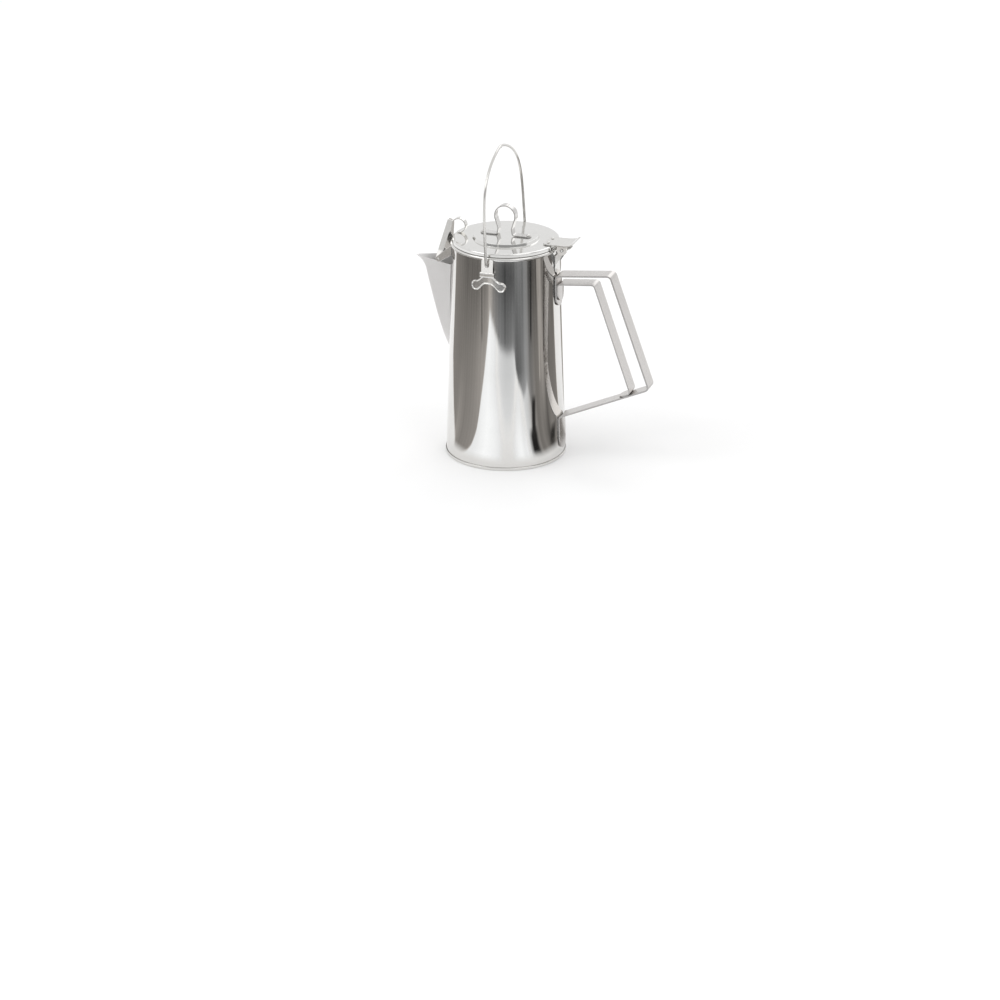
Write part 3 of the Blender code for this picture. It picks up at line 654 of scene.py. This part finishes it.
def add_handle():
    """Two nested straps with softly broken edges, spot-welded to the wall and to each other."""
    outer_sheet, inner_sheet, half = 1.5, 1.2, 8.5
    top_corner, low_corner = (104.9, RIM_Z - 21.0), (144.2, RIM_Z - 128.7)
    inner_corner = (89.3, RIM_Z - 31.2)
    skin = GAP + outer_sheet / 2
    low_z = RIM_Z - 167.3
    corners = [
        wall_line(RIM_Z - 57.2, skin), wall_line(RIM_Z - 26.6, skin), top_corner, low_corner,
        wall_line(low_z, skin), wall_line(RIM_Z - 200.0, skin),
    ]
    path, widths = with_round_ends(spaced(filleted(corners, [3.5, 4.5, 4.5, 3.5], 8), 6.0), half)
    bm = strap(path, outer_sheet, widths, hugging(path, 3.0))
    make_piece("outer_strap", bm, SATIN, "pot", "handle_outer_strap", 0.32, 3)

    over = GAP + outer_sheet + GAP + inner_sheet / 2
    leg = (Vector(wall_line(low_z, skin)) - Vector(low_corner)).normalized()
    lift = Vector((leg.y, -leg.x)) * (outer_sheet / 2 + GAP + inner_sheet / 2)
    lift = -lift if lift.y < 0 else lift
    rest = Vector(low_corner) + leg * 19.0 + lift
    corners = [wall_line(RIM_Z - 52.0, over), wall_line(RIM_Z - 34.6, over), inner_corner]
    corners += [rest, rest + leg * 14.0]
    path, widths = with_round_ends(spaced(filleted(corners, [3.0, 4.0, 3.5], 8), 6.0), half)
    bm = strap(path, inner_sheet, widths, hugging(path, 4.5))
    make_piece("inner_strap", bm, SATIN, "pot", "handle_inner_strap", 0.28, 3)


def add_lid():
    """The pressed lid: raised middle, flat ring, rounded shoulder and a skirt inside the pot."""
    flange_z = RIM_Z + GAP
    top = filleted([
        (0.0, PLATEAU_Z), (PLATEAU_RADIUS + 0.4, PLATEAU_Z), (PLATEAU_RADIUS + 1.5, LID_FLAT_Z),
        (LID_RADIUS - 0.4, LID_FLAT_Z), (LID_RADIUS, flange_z + 0.3),
    ], [0.25, 0.35, 3.0], 8)
    skirt_inside = SKIRT_RADIUS - LID_SHEET
    under_flat, under_plateau = LID_FLAT_Z - LID_SHEET, PLATEAU_Z - LID_SHEET
    under = filleted([
        (LID_RADIUS, flange_z + 0.3), (LID_RADIUS - 0.3, flange_z), (SKIRT_RADIUS + 0.1, flange_z),
        (SKIRT_RADIUS, SKIRT_LOW_Z + 0.2), (SKIRT_RADIUS - 0.3, SKIRT_LOW_Z),
        (skirt_inside, SKIRT_LOW_Z + 0.2), (skirt_inside, under_flat), (PLATEAU_RADIUS + 2.2, under_flat),
        (PLATEAU_RADIUS - 1.4, under_plateau), (0.0, under_plateau),
    ], [0.2, 0.2, 0.2, 0.2, 0.3, 2.0, 1.0, 1.0], 4)
    make_piece("pressed_lid", lathe([*top, *under[1:]]), LID_MIRROR, "lid", "lid_shell")


def add_rivet(name, centre, z, radius, cad_node):
    """A low domed rivet head on a sheet of the lid."""
    steps = 8
    turns = [math.pi / 2 * k / steps for k in range(steps + 1)]
    dome = [(radius * math.sin(turn), z + math.cos(turn)) for turn in turns]
    head = lathe([*dome, (radius * 0.97, z - 0.02), (0.0, z - 0.02)], 36, centre)
    make_piece(name, head, WIRE, "lid", cad_node)


def add_knob():
    """The open loop on the lid, and its two rivets."""
    sheet, neck, loop_half, foot = 1.0, 6.6, 10.0, 25.0
    foot_z = PLATEAU_Z + GAP + sheet / 2
    loop_z = top_of("lid_knob") - loop_half - sheet / 2
    left = [(-foot, foot_z), (-neck - 1.0, foot_z), (-neck, foot_z + 6.0)]
    right = [(neck, foot_z + 6.0), (neck + 1.0, foot_z), (foot, foot_z)]
    loop = arc((0.0, loop_z), loop_half, 205, -25, 36)
    path = filleted(left + loop + right, 2.2, 6)
    path, widths = with_round_ends(spaced(path, 3.0), 4.0)
    bm = strap(path, sheet, widths)
    make_piece("loop_knob", bm, KNOB_STEEL, "lid", "lid_knob", 0.25, 3)
    for name, x in (("left", -22.0), ("right", 22.0)):
        add_rivet(f"loop_rivet_{name}", (x, 0.0), foot_z + sheet / 2 + GAP, 1.9, f"knob_rivet_{name}")


def add_lever():
    """The thumb plate that lifts the lid, its knuckles round the hinge pin, and its rivets."""
    sheet, half, start, tip = 1.1, 12.0, 40.0, 69.0
    flat = LID_FLAT_Z + GAP + sheet / 2
    corners = [(start, flat), (61.0, flat + 0.1), (66.0, flat + 1.0), (tip, flat + 2.8)]
    path = spaced(filleted(corners, [6.0, 5.0], 6), 1.2)
    widths = []
    for p in path:
        along = (p.x - start) / (tip - start)
        widths.append(half * (0.80 + 0.14 * min(1.0, along / 0.10) ** 0.5 + 0.16 * along**1.5))
    bm = strap(path, sheet, widths)
    lever = make_piece("thumb_plate", bm, POLISHED, "lid", "thumb_lever")
    outline = [(HINGE.x - 4.8, flat), *arc((HINGE.x, HINGE.z), 4.8, 180, 360, 36), (HINGE.x + 4.8, flat)]
    for side in (-1, 1):
        combine(lever, side_plate(outline, side, KNUCKLE_Y, KNUCKLE_Y + HINGE_SHEET), "UNION")
    drill(lever, HINGE, HINGE_BORE, (-14.0, 14.0), 32)
    soften(lever, 0.26, 3)
    for name, y in (("front", -6.4), ("back", 6.4)):
        add_rivet(f"plate_rivet_{name}", (44.0, y), flat + sheet / 2 + GAP, 1.6, f"lever_rivet_{name}")


def add_hinge_bracket():
    """The plate welded to the wall, and the two cheeks that carry the hinge pin."""
    sheet, count = 1.0, 24
    path = [Vector(wall_line(RIM_Z - 25.6 + 19.1 * k / count, GAP + sheet / 2)) for k in range(count + 1)]
    spread = CHEEK_Y + HINGE_SHEET - 4.8
    widths = [5.0 + spread * math.sin(math.pi / 2 * min(1.0, k / 10)) for k in range(count + 1)]
    bm = strap(path, sheet, widths, [wall_radius(p.y) for p in path])
    bracket = make_piece("hinge_bracket", bm, POLISHED, "pot", "lid_hinge_bracket")
    outline = [wall_line(RIM_Z - 16.0, 0.2), wall_line(RIM_Z - 7.0, 0.2), (HINGE.x - 4.0, RIM_Z - 3.6)]
    outline += arc((HINGE.x, HINGE.z), 3.2, 180, -50, 30)
    for side in (-1, 1):
        combine(bracket, side_plate(outline, side, CHEEK_Y, CHEEK_Y + HINGE_SHEET), "UNION")
    drill(bracket, HINGE, HINGE_BORE, (-14.0, 14.0), 32)
    soften(bracket, 0.26, 3)
    pin = headed_pin(HINGE, KNUCKLE_Y + HINGE_SHEET + 0.9, 1.5, 1.5)
    make_piece("hinge_pin", pin, WIRE, "pot", "lid_hinge_pin")


def add_cover_rest():
    """The curled strap at the lid's edge that the open cover leans on."""
    sheet, radius = 1.0, 6.6
    centre = (-46.2, LID_FLAT_Z + GAP + sheet / 2 + radius)
    curl = arc(centre, radius, 118, -90, 40)
    path = [Vector(p) for p in [(-51.3, centre[1] + 4.6), *curl, (centre[0] - 2.0, centre[1] - radius)]]
    bm = strap(path, sheet, [2.8] * len(path), None, 6)
    make_piece("cover_curl", bm, POLISHED, "lid", "cover_rest_curl", 0.25, 3)


def cap_shell():
    """The spout's cap as if it lay level: a plate with turned-down sides that narrows towards its tip."""
    sheet, top, drop, half_width = 0.8, 1.5, 5.1, 17.0
    stations = [(-2.2, 1.0), (0.0, 1.0), (8.0, 0.80), (16.0, 0.60), (24.0, 0.40), (30.0, 0.25), (34.0, 0.13)]
    low = top - drop
    rings = []
    for along, share in stations:
        half = half_width * share
        inner = half - sheet
        section = [
            (-half, low), (-half, top), (half, top), (half, low),
            (inner, low), (inner, top - sheet), (-inner, top - sheet), (-inner, low),
        ]
        rings.append([(-along, y, z) for y, z in section])
    bm = bmesh.new()
    stitch(bm, rings)
    return bm


def add_cover():
    """The spout's cap, its two arms and the pin between them."""
    bore, arm_y, arm_sheet = 1.3, 19.3, 1.0
    bm = cap_shell()
    bmesh.ops.rotate(bm, verts=bm.verts, matrix=Matrix.Rotation(COVER_OPEN, 3, "Y"))
    bmesh.ops.translate(bm, verts=bm.verts, vec=COVER_PIN)
    cover = make_piece("spout_cap", bm, POLISHED, "cover", "spout_cover", 0.3, 3)
    for end in (-30.0, 30.0):
        drill(cover, COVER_PIN, bore, (end, 0.0), 28)

    near, far = arm_y - arm_sheet / 2, arm_y + arm_sheet / 2
    top_x, low_x = (-math.sqrt((wall_radius(RIM_Z - z) + GAP) ** 2 - far**2) - 0.1 for z in (5.0, 12.0))
    outline = [
        (top_x, RIM_Z - 4.2), (top_x - 1.5, RIM_Z - 4.2),
        *arc((COVER_PIN.x, COVER_PIN.z), 2.8, 137, 317, 24), (low_x, RIM_Z - 13.0),
    ]
    for name, side in (("front", -1), ("back", 1)):
        arm = make_piece(f"cap_arm_{name}", side_plate(outline, side, near, far), POLISHED, "pot",
                         f"cover_arm_{name}", 0.25, 3)
        drill(arm, COVER_PIN, bore, (-30.0, 30.0), 28)
    pin = headed_pin(COVER_PIN, 20.4, 1.0, 1.0, 24)
    make_piece("cap_pin", pin, WIRE, "pot", "spout_cover_pin")


def add_sleeve(name, cad_node, inner, outer, radius, steps):
    """A short or long upright tube as tall as its CAD node, with rounded rims."""
    low_z, top_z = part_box(cad_node)[0].z / MM, top_of(cad_node)
    walls = loop_filleted([(inner, low_z), (outer, low_z), (outer, top_z), (inner, top_z)], radius, steps)
    make_piece(name, lathe(walls, 48), INNER, "pot", cad_node)


def add_pump():
    """The pump set inside: bell, tube and collar."""
    floor_z = BASE_THICKNESS + GAP
    foot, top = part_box("pump_bell")[1].x / MM, top_of("pump_bell")
    bell = loop_filleted([
        (foot, floor_z + 0.2), (foot, floor_z + 1.0), (30.0, floor_z + 7.0), (12.0, floor_z + 13.0),
        (5.8, floor_z + 15.2), (5.8, top), (4.3, top), (4.3, floor_z + 14.0), (12.0, floor_z + 12.0),
        (30.0, floor_z + 6.0), (foot - 1.0, floor_z + 0.2),
    ], 0.4, 3)
    make_piece("steam_bell", lathe(bell, 96), INNER, "pot", "pump_bell")
    add_sleeve("lift_tube", "pump_tube", 3.3, 4.0, 0.2, 3)
    add_sleeve("basket_stop", "basket_collar", 4.3, 6.6, 0.5, 4)


def punch(target, rings, z, hole):
    """Cuts rings of upright holes through a piece."""
    for count, radius in rings:
        for k in range(count):
            turn = math.tau * (k + 0.5) / count
            x, y = radius * math.cos(turn), radius * math.sin(turn)
            path = [Vector((x, y, z - 3.0)), Vector((x, y, z + 3.0))]
            combine(target, tube(path, [hole, hole], 12, (1, 0, 0)), "DIFFERENCE")


def add_basket():
    """The perforated basket for the ground coffee, and the spreader plate on it."""
    floor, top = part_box("coffee_basket")[0].z / MM, top_of("coffee_basket")
    radius, sheet, sleeve, hole = 34.0, 0.7, 5.2, 1.6
    cup = loop_filleted([
        (sleeve, floor), (radius, floor), (radius, top - 1.0), (radius + 1.4, top),
        (radius - sheet, top - 0.05), (radius - sheet, floor + sheet), (sleeve + sheet, floor + sheet),
        (sleeve + sheet, floor + 14.0), (sleeve, floor + 14.0),
    ], 0.5, 4)
    basket = make_piece("grounds_basket", lathe(cup, 96), INNER, "pot", "coffee_basket")
    punch(basket, ((8, 13.0), (12, 24.0)), floor, hole)
    seat = top + GAP
    dip = seat - 4.0
    dish = loop_filleted([
        (sleeve, dip), (radius - 2.4, dip), (radius - 2.0, seat), (radius + 1.4, seat),
        (radius + 1.4, seat + sheet), (radius - 2.8, seat + sheet), (radius - 3.2, dip + sheet),
        (sleeve + sheet, dip + sheet), (sleeve + sheet, seat + 3.0), (sleeve, seat + 3.0),
    ], 0.3, 3)
    spreader = make_piece("water_spreader", lathe(dish, 96), INNER, "pot", "basket_spreader")
    punch(spreader, ((12, 20.0),), dip, hole)


add_wall()
add_base()
add_spout()
add_ear("front", -1)
add_ear("back", 1)
add_bail()
add_handle()
add_lid()
add_knob()
add_lever()
add_hinge_bracket()
add_cover_rest()
add_cover()
add_pump()
add_basket()

# Camera: a long lens from above the handle's front side. In picture widths, LENS is the focal length, and
# RIM_RIGHT and RIM_UP say where the middle of the rim shows from the picture's centre. SENSOR is in
# millimetres, as camera data is.

LENS = 3.3
RIM_RIGHT, RIM_UP = 0.006, 0.259
SENSOR = 36.0
AZIMUTH = math.radians(19.0)
ELEVATION = math.radians(18.6)
DISTANCE = 3.102


def add_camera():
    """A camera that puts the middle of the rim in its place, right of and above the picture's centre."""
    data = bpy.data.cameras.new("camera")
    data.sensor_width = SENSOR
    data.lens = SENSOR * LENS
    camera = add_object("camera", data)
    level = math.cos(ELEVATION)
    to_camera = Vector((math.sin(AZIMUTH) * level, -math.cos(AZIMUTH) * level, math.sin(ELEVATION)))
    camera.location = Vector((0.0, 0.0, RIM_Z * MM)) + to_camera * DISTANCE
    tilt = ELEVATION + math.atan(RIM_UP / LENS)
    ahead = math.cos(tilt) + RIM_UP / LENS * math.sin(tilt)
    heading = AZIMUTH + math.atan(RIM_RIGHT / LENS / ahead)
    look = Vector((-math.sin(heading) * math.cos(tilt), math.cos(heading) * math.cos(tilt), -math.sin(tilt)))
    camera.rotation_euler = look.to_track_quat("-Z", "Y").to_euler()
    data.clip_start, data.clip_end = 0.1, 60.0
    bpy.context.scene.camera = camera


# Studio: a pale floor, soft lights, and cards that only the steel reflects


def plain(name, colour):
    """A plain matt material."""
    made = bpy.data.materials.new(name)
    made.use_nodes = True
    shader = made.node_tree.nodes["Principled BSDF"]
    shader.inputs["Base Color"].default_value = (*colour, 1.0)
    shader.inputs["Roughness"].default_value = 0.9
    return made


def glowing(name, tone):
    """A plain material that shows one grey tone whatever the light."""
    made = plain(name, (0.0, 0.0, 0.0))
    shader = made.node_tree.nodes["Principled BSDF"]
    shader.inputs["Emission Color"].default_value = (tone, tone, tone, 1.0)
    shader.inputs["Emission Strength"].default_value = 1.0
    shader.inputs["Specular IOR Level"].default_value = 0.0
    return made


def add_card(name, bm, material):
    """A card that stays out of the picture: only glossy reflections show it."""
    card = add_object(name, mesh_of(name, bm, material))
    card.visible_camera = False
    card.visible_diffuse = False
    card.visible_shadow = False
    card.visible_transmission = False


def around(bearing, distance):
    """A place on the floor at a bearing from the camera's side of the pot, positive towards the handle."""
    turn = AZIMUTH + math.radians(bearing)
    return (math.sin(turn) * distance, -math.cos(turn) * distance)


# What the mirror steel sees around the pot. The numbers were typed one by one: they start from the brightness
# of the photograph's reflections, traced back to the floor, and were adjusted until the render agreed. Each
# row holds a bearing, the sheen of the bright floor near the pot and at a middle distance, the distance
# where the dark part of the room starts, and its tones near the pot, at a middle distance and far out.
ROOM = (
    (-128.0, 1.00, 1.00, 0.40, 1.00, 1.00, 1.00), (-125.5, 1.00, 1.00, 0.31, 0.30, 0.28, 0.26),
    (-118.0, 1.00, 1.00, 0.23, 0.29, 0.27, 0.24), (-109.0, 1.00, 1.00, 0.17, 0.28, 0.26, 0.22),
    (-100.0, 1.00, 1.00, 0.13, 0.30, 0.25, 0.20), (-92.0, 1.00, 1.00, 0.105, 0.38, 0.26, 0.17),
    (-84.0, 1.00, 1.00, 0.08, 0.32, 0.26, 0.14),
    (-78.0, 1.00, 1.00, 0.07, 0.27, 0.26, 0.17), (-73.0, 1.00, 1.00, 0.07, 0.29, 0.27, 0.15),
    (-66.0, 1.00, 1.00, 0.07, 0.30, 0.28, 0.16), (-58.0, 1.10, 1.00, 0.09, 0.33, 0.32, 0.15),
    (-54.0, 1.10, 1.00, 0.11, 0.34, 0.36, 0.20), (-49.5, 1.12, 1.10, 0.16, 0.36, 0.38, 0.19),
    (-45.4, 1.15, 1.12, 0.26, 0.40, 0.42, 0.20), (-40.4, 1.22, 1.18, 0.36, 0.40, 0.44, 0.20),
    (-36.3, 1.25, 1.20, 0.46, 0.50, 0.50, 0.30), (-32.0, 1.30, 1.24, 0.58, 0.60, 0.60, 0.50),
    (-28.0, 1.29, 1.18, 0.55, 0.50, 0.50, 0.34), (-24.0, 1.26, 1.14, 0.53, 0.50, 0.45, 0.22),
    (-15.0, 1.17, 0.96, 0.465, 0.40, 0.36, 0.16), (-8.0, 1.06, 0.86, 0.445, 0.40, 0.33, 0.12),
    (-4.5, 1.02, 0.82, 0.44, 0.40, 0.30, 0.09), (-2.0, 1.00, 0.80, 0.44, 0.30, 0.22, 0.065),
    (1.0, 0.99, 0.79, 0.435, 0.30, 0.26, 0.10), (8.0, 1.00, 0.80, 0.435, 0.34, 0.30, 0.10),
    (13.0, 1.06, 0.84, 0.44, 0.40, 0.36, 0.11), (16.0, 1.12, 0.92, 0.43, 0.40, 0.33, 0.13),
    (18.5, 1.20, 0.96, 0.365, 0.60, 0.16, 0.19), (23.0, 1.24, 0.98, 0.32, 0.70, 0.15, 0.22),
    (28.0, 1.10, 0.90, 0.295, 0.75, 0.19, 0.24), (32.0, 1.12, 0.76, 0.275, 0.70, 0.26, 0.18),
    (36.0, 0.96, 0.70, 0.29, 0.60, 0.36, 0.26), (39.0, 0.86, 0.70, 0.32, 0.60, 0.40, 0.30),
    (42.0, 0.80, 0.52, 0.29, 0.50, 0.34, 0.26), (45.0, 0.60, 0.34, 0.25, 0.40, 0.24, 0.12),
    (47.5, 0.40, 0.24, 0.21, 0.26, 0.20, 0.07), (50.0, 0.24, 0.24, 0.07, 0.22, 0.24, 0.05),
    (52.5, 0.32, 0.25, 0.07, 0.32, 0.25, 0.06), (55.0, 1.00, 1.00, 0.07, 0.28, 0.24, 0.10),
    (58.0, 1.00, 1.00, 0.07, 0.20, 0.22, 0.12), (60.5, 1.00, 1.00, 0.07, 0.20, 0.23, 0.12),
    (63.0, 1.00, 1.00, 0.07, 0.24, 0.25, 0.07), (65.0, 1.00, 1.00, 0.07, 0.24, 0.28, 0.34),
    (68.0, 1.00, 1.00, 0.07, 0.22, 0.33, 0.40), (72.5, 1.00, 1.00, 0.07, 0.17, 0.42, 0.42),
    (75.5, 1.00, 1.00, 0.07, 0.13, 0.38, 0.30), (78.0, 1.00, 1.00, 0.07, 0.10, 0.22, 0.17),
    (81.0, 1.00, 1.00, 0.07, 0.18, 0.17, 0.26), (86.0, 1.00, 1.00, 0.07, 0.26, 0.19, 0.22),
    (91.0, 1.00, 1.00, 0.07, 0.26, 0.19, 0.13), (97.0, 1.00, 1.00, 0.07, 0.22, 0.21, 0.22),
    (103.0, 1.00, 1.00, 0.07, 0.24, 0.21, 0.12), (110.0, 1.00, 1.00, 0.07, 0.28, 0.24, 0.12),
    (113.0, 1.00, 1.00, 0.07, 1.00, 1.00, 1.00), (142.0, 1.00, 1.00, 0.07, 1.00, 1.00, 1.00),
    (146.0, 1.00, 1.00, 0.10, 0.34, 0.32, 0.30), (158.0, 1.00, 1.00, 0.10, 0.34, 0.32, 0.30),
    (162.0, 1.00, 1.00, 0.07, 1.00, 1.00, 1.00),
)
# Narrow dark or light bands across the floor: distance and bearing of each end, half width in degrees, tone.
STREAKS = (
    (0.080, 45.5, 0.17, 46.5, 9.0, 0.02), (0.13, 46.0, 0.27, 51.5, 4.8, 0.03),
    (0.09, 76.0, 0.15, 91.0, 9.0, 0.04), (0.46, -47.0, 0.80, -52.0, 1.4, 0.12),
    (0.46, 49.0, 0.85, 52.5, 2.0, 0.03), (0.40, 81.0, 0.62, 84.5, 1.6, 0.12),
    (0.30, 66.0, 0.60, 69.0, 1.4, 0.50),
)
ROOM_START, ROOM_NEAR, ROOM_MIDDLE, ROOM_FAR, ROOM_END = 0.062, 0.13, 0.36, 0.72, 0.92
CARD_Z, FLOOR_LIGHT_Z = 0.0012, 0.002
WARM, COOL = (1.06, 1.0, 0.94), (0.98, 1.0, 1.02)


def room_tone(bearing, distance):
    """The tone and the cover of what lies on the floor at a place: its sheen, the dark room, the streaks."""
    sheen, cover, tone = 1.0, 0.0, 1.0
    for low, high in zip(ROOM, ROOM[1:]):
        if low[0] <= bearing <= high[0]:
            t = (bearing - low[0]) / (high[0] - low[0])
            bright, dim, start, near, middle, far = (a + (b - a) * t for a, b in zip(low[1:], high[1:]))
            inner = clamped((distance - ROOM_NEAR) / (ROOM_MIDDLE - ROOM_NEAR))
            outer = clamped((distance - ROOM_MIDDLE) / (ROOM_FAR - ROOM_MIDDLE))
            sheen = bright + (dim - bright) * inner
            dark = near + (middle - near) * inner + (far - middle) * outer
            dark *= 1 + (0.05 + 0.10 * outer) * math.sin(bearing * 1.9) * math.sin(bearing * 0.83 + 1.0)
            within = clamped((distance - start) / (0.012 + 0.05 * start) + 0.5)
            tone = sheen + (dark - sheen) * within
            cover = clamped(abs(sheen - 1.0) * 12.0) * (1 - within) + clamped((1.0 - dark) * 4.0) * within
            cover *= clamped((distance - 0.075) / 0.02)
    for near, start, far, end, half, dark in STREAKS:
        if near < distance < far:
            middle = start + (end - start) * (distance - near) / (far - near)
            edge = min(1.0, (distance - near) / 0.03 + 0.3, (far - distance) / 0.03 + 0.3)
            share = clamped((1.0 - abs(bearing - middle) / half) * 1.6) * edge
            tone += (dark - tone) * share
    return tone, cover * clamped((ROOM_END - distance) / 0.12)


def room_material():
    """Shows the colours painted on the room's card, and is see-through where they are."""
    made = bpy.data.materials.new("room_card")
    made.use_nodes = True
    tree = made.node_tree
    tree.nodes.clear()
    paint = node(tree, "ShaderNodeAttribute", attribute_name="room")
    glow = node(tree, "ShaderNodeEmission")
    clear = node(tree, "ShaderNodeBsdfTransparent")
    mixed = node(tree, "ShaderNodeMixShader")
    out = node(tree, "ShaderNodeOutputMaterial")
    link = tree.links.new
    link(paint.outputs["Color"], glow.inputs["Color"])
    link(paint.outputs["Alpha"], mixed.inputs["Fac"])
    link(clear.outputs["BSDF"], mixed.inputs[1])
    link(glow.outputs["Emission"], mixed.inputs[2])
    link(mixed.outputs["Shader"], out.inputs["Surface"])
    return made


def add_room():
    """A ring-shaped card just above the floor that carries the room's tones."""
    bm = bmesh.new()
    layer = bm.verts.layers.float_color.new("room")
    spokes, rows = 720, 60
    distances = [ROOM_START * (ROOM_END / ROOM_START) ** (k / rows) for k in range(rows + 1)]
    table = []
    for k in range(spokes):
        bearing = -180.0 + 360.0 * k / spokes
        line = []
        for distance in distances:
            vert = bm.verts.new((*around(bearing, distance), CARD_Z))
            tone, cover = room_tone(bearing, distance)
            warmth = clamped((abs(bearing - 12.0) - 25.0) / 20.0) * clamped((0.9 - tone) * 4.0)
            tint = [cool + (warm - cool) * warmth for warm, cool in zip(WARM, COOL)]
            vert[layer] = (*(tone * t for t in tint), cover)
            line.append(vert)
        table.append(line)
    for here, there in zip(table, table[1:] + table[:1]):
        for i in range(rows):
            bm.faces.new((here[i], here[i + 1], there[i + 1], there[i]))
    add_card("room_card", bm, room_material())


def add_screen(name, start, end, distance, low, high, tone):
    """A plain grey curved screen between two bearings."""
    bm = bmesh.new()
    count = 16
    places = [around(start + (end - start) * k / count, distance) for k in range(count + 1)]
    edges = [(bm.verts.new((x, y, low)), bm.verts.new((x, y, high))) for x, y in places]
    for (foot, head), (next_foot, next_head) in zip(edges, edges[1:]):
        bm.faces.new((foot, next_foot, next_head, head))
    add_card(name, bm, glowing(name, tone))


def add_light(name, place, size, power):
    """A square soft light that faces the pot."""
    data = bpy.data.lights.new(name, "AREA")
    data.size = size
    data.energy = power
    lamp = add_object(name, data)
    lamp.location = place
    lamp.rotation_euler = (Vector((0.0, 0.0, 0.15)) - Vector(place)).to_track_quat("-Z", "Y").to_euler()
    return lamp


def add_glow(name, place, size, radiance, pieces):
    """A wide soft light that only some pieces see, so that they stay pale over the dark room."""
    seen_by = bpy.data.collections.new(name)
    for piece in pieces:
        seen_by.objects.link(bpy.data.objects[piece])
    lamp = add_light(name, place, size, radiance * math.pi * size**2)
    lamp.visible_camera = False
    lamp.light_linking.receiver_collection = seen_by


def add_floor():
    """The pale floor under the pot."""
    bm = bmesh.new()
    bmesh.ops.create_grid(bm, x_segments=1, y_segments=1, size=12.0)
    add_object("floor", mesh_of("floor", bm, plain("pale_floor", (0.94, 0.94, 0.94))))


def add_world():
    """Even white light from all round."""
    world = bpy.data.worlds.new("studio")
    bpy.context.scene.world = world
    world.use_nodes = True
    back = world.node_tree.nodes["Background"]
    back.inputs["Color"].default_value = (1.0, 1.0, 1.0, 1.0)
    back.inputs["Strength"].default_value = 0.92


EARS = ("front_ear", "back_ear")
FITTINGS = ("spout_cap", "cap_arm_front", "cap_arm_back", "thumb_plate", "cover_curl", "loop_knob")


def add_stage():
    """Everything around the pot."""
    add_floor()
    add_room()
    for name, radiance, pieces in (
        ("spout_glow", 0.14, ("pouring_spout",)), ("fitting_glow", 0.14, FITTINGS), ("ear_glow", 0.06, EARS),
    ):
        add_glow(name, (0.0, 0.0, FLOOR_LIGHT_Z), 2.0 * ROOM_END, radiance, pieces)
    add_glow("front_glow", (*around(-12.0, 3.6), 2.4), 4.8, 0.16, FITTINGS + EARS)
    add_glow("cap_glow", (*around(-20.0, 3.5), 2.2), 3.6, 0.22, ("spout_cap",))
    add_screen("front_screen", -80.0, 80.0, 4.4, 1.85, 4.4, 0.36)
    add_world()
    add_light("key_light", (-1.6, -1.4, 2.2), 1.6, 14.0)
    add_light("fill_light", (1.6, -0.9, 2.3), 1.6, 8.5)
    add_light("back_light", (0.2, 2.2, 2.0), 2.0, 10.0)
    bpy.context.scene.view_settings.view_transform = "Standard"


add_camera()
add_stage()

bpy.context.view_layer.update()
